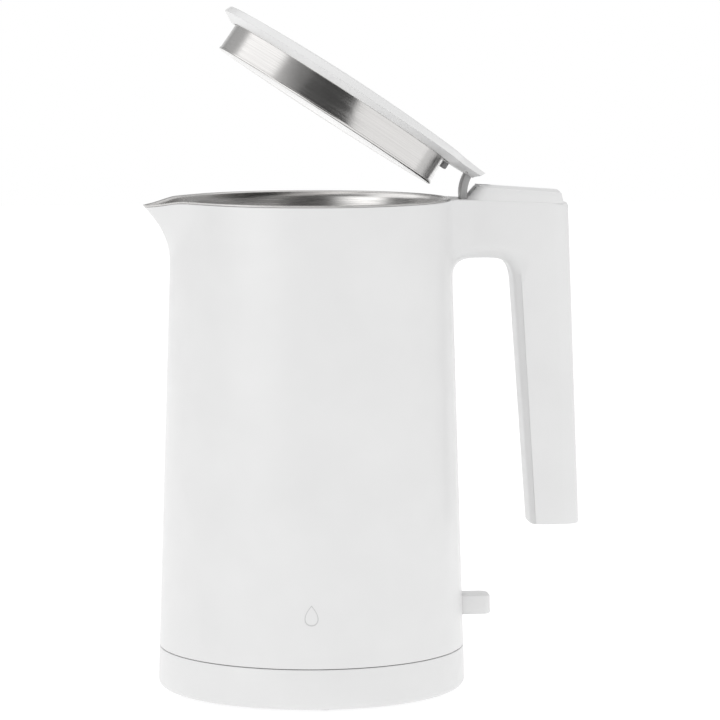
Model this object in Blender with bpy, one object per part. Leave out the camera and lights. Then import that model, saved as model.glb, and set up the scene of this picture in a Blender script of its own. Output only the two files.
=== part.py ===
"""Cordless electric kettle on a round power base, its lid standing part open.

Every size below is in millimetres and is scaled to metres as each mesh is made.  The origin is on
the body's axis at table level, +Z is up, the spout points along -X and the handle along +X.
"""
import math

import bmesh
import bpy
from mathutils import Vector

MM = 0.001
GAP = 0.3                                   # air between two pieces that touch

# --- kettle body: a straight cone from the seam above the power base up to the rim -------------
SEAM_Z = 21.2
RIM_Z = 242.3
CONE_RADIUS_AT_TABLE = 76.1
CONE_TAPER = 0.0313                         # radius lost per millimetre of height
WALL = 1.6
BIG_SEGMENTS = 60
TURNED_SEGMENTS = 48                        # large turned pieces
SMALL_SEGMENTS = 20

# --- spout: its front line leaves the cone on a parabola, then runs straight to the lip ---------
SPOUT_START_Z = 212.0
SPOUT_BEND_Z = 235.0
SPOUT_BEND = 0.0198
SPOUT_NOSE_RADIUS = 9.0
SPOUT_DROOP = 3.0                           # the lip's tip lies this far below the rim
SPOUT_DROOP_TURN = 24.0                     # degrees either side of the tip where the droop ends
SPOUT_DROOP_Z = (227.0, 240.7)              # the wall below the first height isn't bent down
SPOUT_TIP_WALL_SHARE = 0.6                  # the walls thin towards the lip

# --- steel pot ---------------------------------------------------------------------------------
POT_RADIUS = 64.6
POT_WALL = 0.6
POT_FLOOR_Z = 49.6
POT_LIP_INSET = WALL + GAP
SHELL_TOP_Z = RIM_Z - 1.0                   # the pot's rolled lip covers the shell's top edge
LIP_UNDER_Z = SHELL_TOP_Z + GAP

# --- handle ------------------------------------------------------------------------------------
HANDLE_HALF_WIDTH = 13.2
HANDLE_ROOT_FILLET = 18.0
HANDLE_BACK_RADIUS = 9.0
ARM_TOP = ((62.0, 242.1), (126.8, 239.6))
ARM_UNDER_Z = 212.0
GRIP_BOTTOM_Z = 80.0
GRIP_OUTER = ((127.6, 237.3), (133.4, 80.0))
GRIP_INNER = ((98.5, 201.8), (108.1, 80.0))
GRIP_PART_LINE = ((104.4, 205.0), (112.1, 80.0))
COVER_TOP_Z = 204.6
HANDLE_WALL = 2.6
GAP_CORNER_BODY = 8.0
GAP_CORNER_GRIP = 7.0

# --- lid and its hinge; the lid is drawn closed, then turned open about the hinge line ----------
HINGE = (93.4, 244.2)
LID_REST_ANGLE = math.radians(33.0)
LID_RADIUS = 69.0
LID_UNDER_Z = 242.9
LID_NOSE_Z = 245.7
LID_CROWN_Z = 251.7
LID_DOME = 2.6
LID_WALL = 1.7
LID_TAIL = ((77.5, 242.5), (81.0, 248.3))   # the tail's end leans back as it rises
SKIRT_RADIUS = 61.3
SKIRT_BOTTOM_Z = 228.8
ARM_RADII = (16.2, 20.4)
ARM_HALF_WIDTH = 5.2
ARM_TOP_ANGLE = 178.0
ARM_TAIL_ANGLE = 303.0
HUB_RADIUS = 2.1
PIN_RADIUS = 1.1
DECK_SLOT_X = (72.6, 100.0)
HINGE_COVER_FRONT = ((78.3, 242.2), (81.8, 248.2))
HINGE_COVER_REAR = ((123.5, 245.1), (124.8, 240.3))
HINGE_COVER_HALF_WIDTH = 12.2

# --- switch lever ------------------------------------------------------------------------------
LEVER_PIVOT = (58.0, 37.0)
LEVER_TAB = ((75.9, 33.8), (89.9, 44.4))
LEVER_TAB_HALF_WIDTH = 8.0
LEVER_ARM_HALF_WIDTH = 4.0

# --- power base --------------------------------------------------------------------------------
BASE_TOP_Z = 20.6
BASE_RADII = (76.0, 75.5)                   # near the table, at the top edge
BASE_BOTTOM_Z = 1.2
BASE_WALL = 2.0
TOWER_RADIUS = 17.3
TOWER_TOP_Z = 31.5
BASE_SCREW_CIRCLE = 50.0
FOOT_CIRCLE = 62.0
FOOT_RADIUS = 6.5

LID_FRAME = Vector((HINGE[0] * MM, 0.0, HINGE[1] * MM))


def clear_scene():
    for obj in list(bpy.data.objects):
        bpy.data.objects.remove(obj, do_unlink=True)


def make_material(name, colour, roughness, metallic=0.0):
    material = bpy.data.materials.new(name)
    material.use_nodes = True
    shader = material.node_tree.nodes["Principled BSDF"]
    shader.inputs["Base Color"].default_value = (*colour, 1.0)
    shader.inputs["Roughness"].default_value = roughness
    shader.inputs["Metallic"].default_value = metallic
    return material


# ------------------------------------------------------------------------------------ mesh tools
def add_object(name, bm, material, pivot=None, parent=None):
    """Turn bm, drawn in millimetres, into a smooth-shaded object whose origin is at pivot."""
    bmesh.ops.recalc_face_normals(bm, faces=bm.faces)
    origin = Vector(pivot) * MM if pivot else Vector()
    for vertex in bm.verts:
        vertex.co = vertex.co * MM - origin
    mesh = bpy.data.meshes.new(name)
    bm.to_mesh(mesh)
    bm.free()
    mesh.shade_smooth()
    mesh.set_sharp_from_angle(angle=math.radians(35.0))
    if material:
        mesh.materials.append(material)
    obj = bpy.data.objects.new(name, mesh)
    bpy.context.collection.objects.link(obj)
    obj.location = origin
    if parent:
        obj.parent = parent
        obj.location = origin - LID_FRAME
    return obj


def loft(rings, closed=False):
    """Skin equal-length rings of points; the ends are capped unless the rings close on themselves."""
    bm = bmesh.new()
    rows = [[bm.verts.new(point) for point in ring] for ring in rings]
    count = len(rows[0])
    pairs = list(zip(rows, rows[1:]))
    if closed:
        pairs.append((rows[-1], rows[0]))
    for lower, upper in pairs:
        for i in range(count):
            j = (i + 1) % count
            bm.faces.new((lower[i], lower[j], upper[j], upper[i]))
    if not closed:
        bm.faces.new(rows[0])
        bm.faces.new(rows[-1])
    return bm


def circle(radius, z, count, centre=(0.0, 0.0)):
    turns = (2.0 * math.pi * i / count for i in range(count))
    return [(centre[0] + radius * math.cos(t), centre[1] + radius * math.sin(t), z) for t in turns]


def turned(profile, count=SMALL_SEGMENTS, centre=(0.0, 0.0), closed=True):
    """Revolve (radius, z) points about a vertical axis; an open profile gets flat end caps."""
    return loft([circle(r, z, count, centre) for r, z in profile], closed)


def disc(radius, low, high, count=SMALL_SEGMENTS, centre=(0.0, 0.0)):
    return turned([(radius, low), (radius, high)], count, centre, closed=False)


def ring(inner, outer, low, high, count=SMALL_SEGMENTS):
    return turned([(inner, low), (outer, low), (outer, high), (inner, high)], count)


def prism(outline, low, high, axis="Y"):
    """Extrude a flat outline: (x, z) points along Y, (x, y) points along Z."""
    place = (lambda a, b, t: (a, t, b)) if axis == "Y" else (lambda a, b, t: (a, b, t))
    return loft([[place(a, b, t) for a, b in outline] for t in (low, high)])


def box(low, high):
    corners = [(low[0], low[2]), (high[0], low[2]), (high[0], high[2]), (low[0], high[2])]
    return prism(corners, low[1], high[1])


def rod(x, z, radius, half_length, count=SMALL_SEGMENTS):
    """A round bar along Y."""
    return prism(arc_points((x, z), radius, 0.0, 360.0, count)[:-1], -half_length, half_length)


def arc_points(centre, radius, start, end, steps):
    """Points of an arc, its angles in degrees, both ends included."""
    turns = (math.radians(start + (end - start) * i / steps) for i in range(steps + 1))
    return [(centre[0] + radius * math.cos(t), centre[1] + radius * math.sin(t)) for t in turns]


def mirrored(half):
    """Close an outline whose upper half runs from its rear to its front."""
    return half + [(x, -y) for x, y in reversed(half)]


def combine(target, tool_bm, operation, parent=None):
    """Cut tool_bm from target, join it on or keep what both hold, with a hidden wire tool."""
    tool = add_object(f"tool_{target.name}_{len(target.modifiers)}", tool_bm, None, parent=parent)
    tool.display_type = "WIRE"
    tool.hide_render = True
    modifier = target.modifiers.new(operation.title(), "BOOLEAN")
    modifier.operation = operation
    modifier.solver = "EXACT"
    modifier.object = tool


def cut(target, tool_bm, parent=None):
    combine(target, tool_bm, "DIFFERENCE", parent)


def join(target, tool_bm, parent=None):
    combine(target, tool_bm, "UNION", parent)


def deck_z(x):
    """Height of the handle arm's sloping top at x."""
    (x0, z0), (x1, z1) = ARM_TOP
    return z0 + (z1 - z0) * (x - x0) / (x1 - x0)


def on_line(line, z):
    """The x of a two-point (x, z) line at height z."""
    (x0, z0), (x1, z1) = line
    return x0 + (x1 - x0) * (z - z0) / (z1 - z0)


# ------------------------------------------------------------------------- body and spout shapes
def cone_radius(z):
    return CONE_RADIUS_AT_TABLE - CONE_TAPER * z


def spout_reach(z):
    """How far the spout's front line stands out from the cone at height z."""
    curve = SPOUT_BEND * max(0.0, min(z, SPOUT_BEND_Z) - SPOUT_START_Z) ** 2
    slope = 2.0 * SPOUT_BEND * (SPOUT_BEND_Z - SPOUT_START_Z)
    return curve + slope * max(0.0, z - SPOUT_BEND_Z)


def droop(angle, z):
    """How far the spout's lip bends down at an angle from the tip."""
    low, high = SPOUT_DROOP_Z
    share = min(1.0, max(0.0, (z - low) / (high - low)))
    turn = min(1.0, angle / math.radians(SPOUT_DROOP_TURN))
    return SPOUT_DROOP * share * math.cos(0.5 * math.pi * turn) ** 2


def body_ring(z, inset):
    """The body's outline at z: a circle and the spout's nose circle, joined by tangents."""
    radius = cone_radius(z) - inset
    reach = spout_reach(z - droop(0.0, z))
    tip = cone_radius(z) + reach - inset * (SPOUT_TIP_WALL_SHARE if reach > GAP else 1.0)
    tip = max(tip, radius)
    nose = SPOUT_NOSE_RADIUS - 0.5 * inset
    offset = tip - nose
    tangent = math.acos(min(1.0, (radius - nose) / offset))
    nose_end = math.atan2(nose * math.sin(tangent), offset + nose * math.cos(tangent))
    points = []
    for i in range(BIG_SEGMENTS):
        turn = 2.0 * math.pi * i / BIG_SEGMENTS
        angle = turn - 0.35 * math.sin(turn)
        away = min(angle, 2.0 * math.pi - angle)
        if away >= tangent:
            distance = radius
        elif away >= nose_end:
            distance = radius / math.cos(tangent - away)
        else:
            across = offset * math.sin(away)
            distance = offset * math.cos(away) + math.sqrt(nose * nose - across * across)
        low = z - droop(away, z)
        points.append((-distance * math.cos(angle), -distance * math.sin(angle), low))
    return points


def shell_heights():
    """Rows of the wall: few on the plain cone, close together where the spout bends."""
    return [SEAM_Z, SPOUT_START_Z, 219.0, 227.0, SPOUT_BEND_Z]


# ----------------------------------------------------------------------------------- kettle body
def handle_plan(half_width, fillet, back_shift):
    """Plan outline of the arm and grip, flared where it grows out of the body."""
    body = cone_radius(RIM_Z)
    centre_x = math.sqrt((body + fillet) ** 2 - (half_width + fillet) ** 2)
    flare = math.degrees(math.atan2(half_width + fillet, centre_x))
    back_x = GRIP_OUTER[0][0] + back_shift
    back_centre = (back_x - HANDLE_BACK_RADIUS, half_width - HANDLE_BACK_RADIUS)
    half = arc_points(back_centre, HANDLE_BACK_RADIUS, 0.0, 90.0, 5)
    half += arc_points((centre_x, half_width + fillet), fillet, 270.0, 180.0 + flare, 5)
    half.append((45.0, 14.0))
    return mirrored(half)


def handle_side():
    """Side outline of the arm and of the grip's outer moulding, with the finger gap's corners."""
    grip_top = on_line(GRIP_INNER, COVER_TOP_Z)
    outline = [ARM_TOP[0], ARM_TOP[1], GRIP_OUTER[0], GRIP_OUTER[1]]
    outline += [(GRIP_PART_LINE[1][0], GRIP_BOTTOM_Z)]
    outline += [(on_line(GRIP_PART_LINE, COVER_TOP_Z), COVER_TOP_Z)]
    grip_centre = (grip_top - GAP_CORNER_GRIP, ARM_UNDER_Z - GAP_CORNER_GRIP)
    outline += arc_points(grip_centre, GAP_CORNER_GRIP, 0.0, 90.0, 4)
    body_x = cone_radius(ARM_UNDER_Z)
    body_centre = (body_x + GAP_CORNER_BODY, ARM_UNDER_Z - GAP_CORNER_BODY)
    outline += arc_points(body_centre, GAP_CORNER_BODY, 90.0, 180.0, 4)
    outline.append((62.0, ARM_UNDER_Z - GAP_CORNER_BODY))
    return outline


def handle_hollow():
    """Side outline of the space inside the arm and the grip, open where the inner cover fits."""
    ceiling = ARM_TOP[1][1] - HANDLE_WALL
    floor = ARM_UNDER_Z + HANDLE_WALL
    grip_bottom = GRIP_BOTTOM_Z + HANDLE_WALL
    corner_x = on_line(GRIP_INNER, COVER_TOP_Z)
    mouth_z = COVER_TOP_Z - 0.5
    outline = [(71.0, floor), (corner_x - 4.0, floor), (corner_x + 1.0, floor - 3.0)]
    outline += [(corner_x + HANDLE_WALL, COVER_TOP_Z), (corner_x + HANDLE_WALL, mouth_z)]
    outline += [(GRIP_PART_LINE[1][0] - 6.0, grip_bottom)]
    outline += [(on_line(GRIP_OUTER, grip_bottom) - HANDLE_WALL, grip_bottom)]
    outline += [(on_line(GRIP_OUTER, ceiling) - HANDLE_WALL, ceiling), (71.0, ceiling)]
    return outline


def handle_form():
    """The handle's outer solid: its side outline kept inside its flared, raked plan outline."""
    rake = (GRIP_OUTER[1][0] - GRIP_OUTER[0][0]) / (GRIP_OUTER[0][1] - GRIP_OUTER[1][1])
    low_z = GRIP_BOTTOM_Z - 5.0
    high_z = RIM_Z + 3.0
    rings = []
    for z in (low_z, high_z):
        shift = rake * (GRIP_OUTER[0][1] - z)
        plan = handle_plan(HANDLE_HALF_WIDTH, HANDLE_ROOT_FILLET, shift)
        rings.append([(x, y, z) for x, y in plan])
    return loft(rings)


def add_outer_shell(white):
    """One moulding: the wall, the spout and the hollow handle, cut for the hinge and the lever."""
    handle = add_object("tool_handle", handle_form(), None)
    combine(handle, prism(handle_side(), -40.0, 40.0), "INTERSECT")
    lip_radius = cone_radius(RIM_Z) + GAP
    cut(handle, disc(lip_radius, SHELL_TOP_Z - 0.2, RIM_Z + 5.0, BIG_SEGMENTS))
    handle.display_type = "WIRE"
    handle.hide_render = True
    outside = [body_ring(z, 0.0) for z in shell_heights()]
    top = SHELL_TOP_Z
    outside += [body_ring(top - 0.6, 0.0), body_ring(top, 0.5), body_ring(top, WALL + 0.4)]
    shell = add_object("outer_shell", loft(outside), white)
    union = shell.modifiers.new("Handle", "BOOLEAN")
    union.operation = "UNION"
    union.solver = "EXACT"
    union.object = handle
    inside = [body_ring(SEAM_Z - 2.0, 2.2)]
    inside += [body_ring(z, WALL) for z in shell_heights()[1:]]
    inside += [body_ring(top - 0.6, WALL), body_ring(RIM_Z + 4.0, WALL)]
    cut(shell, loft(inside))
    cut(shell, prism(handle_hollow(), HANDLE_WALL - HANDLE_HALF_WIDTH, HANDLE_HALF_WIDTH - HANDLE_WALL))
    slot_half = ARM_HALF_WIDTH + 1.0
    cut(shell, box((DECK_SLOT_X[0], -slot_half, 234.0), (DECK_SLOT_X[1], slot_half, 245.0)))
    lever_half = LEVER_TAB_HALF_WIDTH + 0.6
    cut(shell, box((68.0, -lever_half, 28.6), (80.0, lever_half, 45.1)))
    return shell


def add_handle_inner_cover(white):
    """The grip's inner face: a strip with sloped sides that closes the hollow grip."""
    rings = []
    for z in (GRIP_BOTTOM_Z, COVER_TOP_Z - GAP):
        inner_x = on_line(GRIP_INNER, z)
        part_x = on_line(GRIP_PART_LINE, z) - GAP
        half = HANDLE_HALF_WIDTH
        section = mirrored([(part_x, half), (part_x - 0.6, half), (inner_x, 8.6)])
        rings.append([(x, y, z) for x, y in section])
    add_object("handle_inner_cover", loft(rings), white)


def add_hinge_cover(white):
    """The wedge on the arm that hides the hinge, hollow and open underneath."""
    front_low, front_high = HINGE_COVER_FRONT
    rear_high, rear_low = HINGE_COVER_REAR
    outline = [front_low, front_high, rear_high, rear_low]
    half = HINGE_COVER_HALF_WIDTH
    cover = add_object("handle_top_cover", prism(outline, -half, half), white)
    plan = handle_plan(half, HANDLE_ROOT_FILLET, 0.0)
    combine(cover, prism(plan, 230.0, 255.0, axis="Z"), "INTERSECT")
    wall = 0.9
    hollow = [(front_low[0] + 1.4, 238.0), (front_high[0] + 0.7, front_high[1] - wall)]
    hollow += [(rear_high[0] - 1.5, rear_high[1] - wall), (rear_low[0] - 1.6, 238.0)]
    cut(cover, prism(hollow, wall - half, half - wall))
    passage = ARM_HALF_WIDTH + 1.0
    cut(cover, box((70.0, -passage, 238.0), (front_low[0] + 2.0, passage, 242.8)))


def pot_rows():
    """Heights and insets of the pot's wall: a plain cylinder that flares to the rim."""
    flare = [(215.0, 4.1), (225.0, 3.2), (SPOUT_BEND_Z, POT_LIP_INSET + 1.1)]
    plain = [(z, cone_radius(z) - POT_RADIUS) for z in (POT_FLOOR_Z + 6.0, 206.0)]
    return plain + flare


def add_inner_pot(steel):
    """Drawn steel pot: dished floor, plain wall and a rolled lip that covers the shell's top."""
    lip = POT_LIP_INSET
    outside = [body_ring_round(POT_RADIUS - 7.0, POT_FLOOR_Z)]
    outside += [body_ring_round(POT_RADIUS - 2.0, POT_FLOOR_Z + 2.0)]
    outside += [body_ring(z, inset) for z, inset in pot_rows()]
    outside += [body_ring(LIP_UNDER_Z - 1.0, lip + 1.1), body_ring(LIP_UNDER_Z, lip + 0.4)]
    rim = [body_ring(LIP_UNDER_Z, 0.3), body_ring(RIM_Z - 0.3, 0.3), body_ring(RIM_Z, 0.7)]
    rim.append(body_ring(RIM_Z, lip + 1.0))
    inside = [body_ring(RIM_Z - 0.6, lip + 1.5)]
    inside += [body_ring(z, inset + POT_WALL) for z, inset in reversed(pot_rows())]
    inside += [body_ring_round(POT_RADIUS - 2.6, POT_FLOOR_Z + 2.6)]
    inside += [body_ring_round(POT_RADIUS - 7.3, POT_FLOOR_Z + 0.6)]
    add_object("inner_pot", loft(outside + rim + inside), steel)


def body_ring_round(radius, z):
    """A plain circle at z with its points in the same directions as the body's outline."""
    points = []
    for i in range(BIG_SEGMENTS):
        turn = 2.0 * math.pi * i / BIG_SEGMENTS
        angle = turn - 0.35 * math.sin(turn)
        points.append((-radius * math.cos(angle), -radius * math.sin(angle), z))
    return points


def add_rim_seal(silicone):
    low, high = RIM_Z - 4.4, RIM_Z - 2.4
    outer, inner = POT_LIP_INSET, POT_LIP_INSET + 0.7
    rows = [body_ring(low, inner), body_ring(low, outer), body_ring(high, outer)]
    rows.append(body_ring(high, inner))
    add_object("rim_seal", loft(rows, closed=True), silicone)


def add_steam_duct(plastic):
    """Flat tube down the back, between pot and wall, that leads steam to the switch."""
    rings = []
    for half_y, thick, low, high in ((6.0, 1.2, 52.0, 203.0), (5.3, 0.5, 52.0, 203.0)):
        for z in ((low, high) if half_y == 6.0 else (high, low)):
            middle = POT_RADIUS + 0.5 + 1.2
            corners = [(middle - thick, -half_y), (middle + thick, -half_y)]
            corners += [(middle + thick, half_y), (middle - thick, half_y)]
            rings.append([(x, y, z) for x, y in corners])
    add_object("steam_duct", loft(rings, closed=True), plastic)


# -------------------------------------------------------------------- heater, control and bottom
def add_heater(aluminium, heater_steel):
    spreader_low, spreader_high = POT_FLOOR_Z - 3.3, POT_FLOOR_Z - GAP
    add_object("heat_spreader_plate", disc(54.0, spreader_low, spreader_high, 40), aluminium)
    curve = bpy.data.curves.new("heating_element", "CURVE")
    curve.dimensions = "3D"
    curve.bevel_depth = 3.6 * MM
    curve.bevel_resolution = 1
    curve.use_fill_caps = True
    tube_z = spreader_low - GAP - 3.6
    path = [(x, y, tube_z) for x, y in arc_points((0.0, 0.0), 40.0, 28.0, 332.0, 30)]
    spline = curve.splines.new("POLY")
    spline.points.add(len(path) - 1)
    for point, place in zip(spline.points, path):
        point.co = (place[0] * MM, place[1] * MM, place[2] * MM, 1.0)
    curve.materials.append(heater_steel)
    bpy.context.collection.objects.link(bpy.data.objects.new("heating_element", curve))


def add_control(black, brass):
    """The thermostat control, its snap disc, its fuse and the socket that meets the base."""
    housing = [(-19.0, -13.0), (19.0, -13.0), (24.0, -6.0), (24.0, 6.0), (19.0, 13.0)]
    housing += [(-19.0, 13.0)]
    add_object("control_housing", prism(housing, 38.3, 43.6, axis="Z"), black)
    add_object("bimetal_disc", turned([(12.0, 43.9), (6.0, 44.7), (6.0, 45.1), (12.0, 44.3)]), brass)
    fuse = turned([(1.8, -24.0), (1.8, -15.0)], 12, closed=False)
    for vertex in fuse.verts:
        vertex.co = (vertex.co.z, vertex.co.x + 17.0, vertex.co.y + 41.0)
    add_object("thermal_fuse", fuse, brass)
    socket = [(18.2, 21.8), (25.5, 21.8), (25.5, 24.4), (20.6, 24.4), (20.6, 38.0)]
    socket += [(2.2, 38.0), (2.2, 35.0), (10.2, 35.0), (10.2, 27.3), (11.8, 27.3), (11.8, 35.0)]
    socket += [(18.2, 35.0)]
    add_object("kettle_connector", turned(socket, 24), black)
    add_object("kettle_contact_ring", ring(10.3, 11.7, 23.2, 27.0, 24), brass)
    pin = [(0.6, 22.6), (1.5, 23.6), (1.5, 37.6)]
    add_object("kettle_contact_pin", turned(pin, 12, closed=False), brass)


def screw(head_z, shank_top, head_radius, shank_radius, centre):
    profile = [(head_radius, head_z), (head_radius, head_z + 1.2), (shank_radius, head_z + 1.2)]
    profile += [(shank_radius, shank_top)]
    return turned(profile, 12, centre, closed=False)


def on_circle(radius, degrees):
    turn = math.radians(degrees)
    return (radius * math.cos(turn), radius * math.sin(turn))


def add_bottom(white, grey, steel):
    """The chassis ring that carries the control and the lever, and the cover that closes it in."""
    places = [on_circle(61.0, turn) for turn in (60.0, 180.0, 300.0)]
    chassis = add_object("chassis_ring", ring(27.0, 70.6, 27.5, 29.5, 36), grey)
    for side in (-1.0, 1.0):
        near, far = sorted((side * 5.0, side * 7.4))
        ear = [(53.0, 28.0), (63.0, 28.0), (61.0, 40.2), (55.0, 40.2)]
        join(chassis, prism(ear, near, far))
    for place in places:
        join(chassis, disc(3.6, 25.2, 28.0, 12, place))
        cut(chassis, disc(1.7, 24.0, 31.0, 12, place))
    cut(chassis, rod(LEVER_PIVOT[0], LEVER_PIVOT[1], 1.5, 12.0, 12))
    profile = [(26.0, 21.9), (72.8, 21.9), (72.6, 30.0), (71.0, 26.5), (71.0, 24.9), (26.0, 24.9)]
    cover = add_object("jug_bottom_cover", turned(profile, TURNED_SEGMENTS), white)
    for number, place in enumerate(places, start=1):
        cut(cover, disc(3.4, 21.0, 23.6, 12, place))
        cut(cover, disc(1.7, 23.0, 26.0, 12, place))
        add_object(f"bottom_screw_{number}", screw(22.1, 31.5, 3.0, 1.35, place), steel)


# ---------------------------------------------------------------------------------- switch lever
def add_switch_lever(white, steel):
    x, z = LEVER_PIVOT
    (tab_x0, tab_z0), (tab_x1, tab_z1) = LEVER_TAB
    edge = 1.6
    tab = arc_points((tab_x1 - edge, tab_z1 - edge), edge, 90.0, 0.0, 3)
    tab += arc_points((tab_x1 - edge, tab_z0 + edge), edge, 0.0, -90.0, 3)
    tab += [(tab_x0, tab_z0), (tab_x0, tab_z1)]
    pivot = (x, 0.0, z)
    half = LEVER_TAB_HALF_WIDTH
    lever = add_object("switch_lever", prism(tab, -half, half), white, pivot)
    arm = arc_points((x, z), 3.2, 90.0, 270.0, 8) + [(tab_x0 + 2.0, z - 1.8), (tab_x0 + 2.0, z + 3.6)]
    join(lever, prism(arm, -LEVER_ARM_HALF_WIDTH, LEVER_ARM_HALF_WIDTH))
    cut(lever, rod(x, z, 1.5, 12.0, 12))
    add_object("lever_pin", rod(x, z, 1.2, 8.4, 12), steel)


# ----------------------------------------------------------------------------------------- hinge
def add_hinge(steel):
    x, z = HINGE
    add_object("hinge_pin", rod(x, z, PIN_RADIUS, 10.8, 14), steel)
    front_x, rear_x = 86.0, 108.0
    front_z, rear_z = deck_z(front_x) + GAP, deck_z(rear_x) + GAP
    plate = [(front_x, front_z), (rear_x, rear_z), (rear_x, rear_z + 1.0), (front_x, front_z + 1.0)]
    bracket = add_object("hinge_bracket", prism(plate, -10.2, 10.2), steel)
    cut(bracket, box((80.0, -8.8, 238.0), (DECK_SLOT_X[1] + 1.0, 8.8, 250.0)))
    ear = [(90.6, front_z + 0.2), (96.2, front_z + 0.2), (95.2, z + 1.9), (91.6, z + 1.9)]
    for side in (-1.0, 1.0):
        near, far = sorted((side * 9.0, side * 10.2))
        join(bracket, prism(ear, near, far))
    cut(bracket, rod(x, z, PIN_RADIUS + GAP, 14.0, 14))
    add_hinge_spring(steel)


def add_hinge_spring(steel):
    """Torsion spring round the pin, between the lid arm's hub and the bracket's ear."""
    curve = bpy.data.curves.new("hinge_spring", "CURVE")
    curve.dimensions = "3D"
    curve.bevel_depth = 0.22 * MM
    curve.bevel_resolution = 0
    curve.use_fill_caps = True
    turns, steps, coil_radius = 4, 12, 1.68
    spline = curve.splines.new("POLY")
    spline.points.add(turns * steps)
    for i, point in enumerate(spline.points):
        angle = 2.0 * math.pi * i / steps
        y = 5.7 + 0.68 * i / steps
        x = HINGE[0] + coil_radius * math.cos(angle)
        z = HINGE[1] + coil_radius * math.sin(angle)
        point.co = (x * MM, y * MM, z * MM, 1.0)
    curve.materials.append(steel)
    bpy.context.collection.objects.link(bpy.data.objects.new("hinge_spring", curve))


# ------------------------------------------------------------------------------------------- lid
def lid_outline(inset, tail_x):
    """Plan of the lid: a disc with a flared tail that reaches back to the hinge cover."""
    radius = LID_RADIUS - inset
    half_width = HANDLE_HALF_WIDTH - 0.6 - inset
    fillet = 12.0 + inset
    centre = (math.sqrt((radius + fillet) ** 2 - (half_width + fillet) ** 2), half_width + fillet)
    flare = math.degrees(math.atan2(centre[1], centre[0]))
    half = [(tail_x, half_width * 0.5), (tail_x, half_width)]
    half += arc_points(centre, fillet, 270.0, 180.0 + flare, 4)
    half += arc_points((0.0, 0.0), radius, flare, 180.0, 22)[1:]
    mirror = [(x, -y) for x, y in reversed(half[:-1])]
    return half + mirror


def lid_ring(inset, z, tail_inset):
    """The lid's outline at height z, drawn in by inset and at its tail's end by tail_inset."""
    return [(x, y, z) for x, y in lid_outline(inset, on_line(LID_TAIL, z) - tail_inset)]


def dome_ring(share, drop):
    """The lid's top edge drawn in towards the crown, lying drop below the domed top."""
    points = []
    for x, y in lid_outline(1.4, LID_TAIL[1][0]):
        px, py = x * share, y * share
        height = LID_CROWN_Z - LID_DOME * (px * px + py * py) / LID_RADIUS ** 2 - drop
        points.append((px, py, height))
    return points


def add_lid(white, grey, steel, foam, rubber):
    pivot = bpy.data.objects.new("lid_pivot", None)
    bpy.context.collection.objects.link(pivot)
    pivot.location = LID_FRAME
    pivot.rotation_euler = (0.0, LID_REST_ANGLE, 0.0)

    def piece(name, bm, material):
        return add_object(name, bm, material, (HINGE[0], 0.0, HINGE[1]), pivot)

    wall = LID_WALL
    edge_z = LID_NOSE_Z + 0.2
    rows = [dome_ring(0.45, wall), dome_ring(0.8, wall), dome_ring(0.96, wall)]
    rows += [lid_ring(wall + 1.2, edge_z, wall + 1.6), lid_ring(0.9, edge_z - 0.6, 0.6)]
    rows += [lid_ring(0.0, edge_z, 0.0), dome_ring(1.0, 0.0), dome_ring(0.97, 0.0)]
    rows += [dome_ring(0.75, 0.0), dome_ring(0.45, 0.0)]
    flatten(rows[0])
    flatten(rows[-1])
    top = piece("lid_top_cover", loft(rows), white)
    for side in (-1.0, 1.0):
        join(top, disc(2.8, 245.2, LID_CROWN_Z - 3.2, 12, (72.5, side * 8.4)), pivot)
        cut(top, disc(1.5, 244.0, 247.6, 12, (72.5, side * 8.4)), pivot)

    under = lid_ring(5.4, LID_UNDER_Z, 0.0)
    over = lid_ring(1.2, LID_NOSE_Z - 0.8, 0.4)
    plate = piece("lid_bottom_plate", loft([under, over]), white)
    cut(plate, disc(SKIRT_RADIUS + GAP, 240.0, 247.0, TURNED_SEGMENTS), pivot)
    slot = ARM_HALF_WIDTH + GAP
    cut(plate, box((72.2, -slot, 240.0), (77.6, slot, 247.0)), pivot)
    for number, side in enumerate((-1.0, 1.0), start=1):
        cut(plate, disc(2.5, 240.0, 243.9, 12, (72.5, side * 8.4)), pivot)
        cut(plate, disc(1.5, 243.0, 247.0, 12, (72.5, side * 8.4)), pivot)
        name = f"lid_screw_{number}"
        piece(name, screw(242.4, 247.3, 2.2, 1.2, (72.5, side * 8.4)), steel)
    add_liner(piece, steel, foam)
    add_hinge_arm(piece, pivot, grey)
    bumper = [(61.6, 242.6), (64.3, 242.6), (64.3, 239.8), (63.7, 239.2), (61.6, 239.2)]
    piece("lid_bumper", prism(bumper, -2.2, 2.2), rubber)


def flatten(points):
    """Level a ring so that it can be capped with one flat face."""
    height = sum(point[2] for point in points) / len(points)
    points[:] = [(x, y, height) for x, y, _ in points]


def add_liner(piece, steel, foam):
    """The steel cup under the lid and the insulation inside it."""
    radius, low = SKIRT_RADIUS, SKIRT_BOTTOM_Z
    rows = [(radius - 3.0, low), (radius - 0.8, low + 0.8), (radius, low + 3.0)]
    rows += [(radius, LID_NOSE_Z), (radius - 0.6, LID_NOSE_Z), (radius - 0.6, low + 3.2)]
    rows += [(radius - 1.2, low + 1.4), (radius - 3.0, low + 0.6)]
    piece("lid_liner", turned(rows, TURNED_SEGMENTS, closed=False), steel)
    block = [(radius - 4.0, low + 1.0), (radius - 1.6, low + 3.4), (radius - 1.6, LID_NOSE_Z - 1.0)]
    piece("lid_insulation", turned(block, TURNED_SEGMENTS, closed=False), foam)


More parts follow.
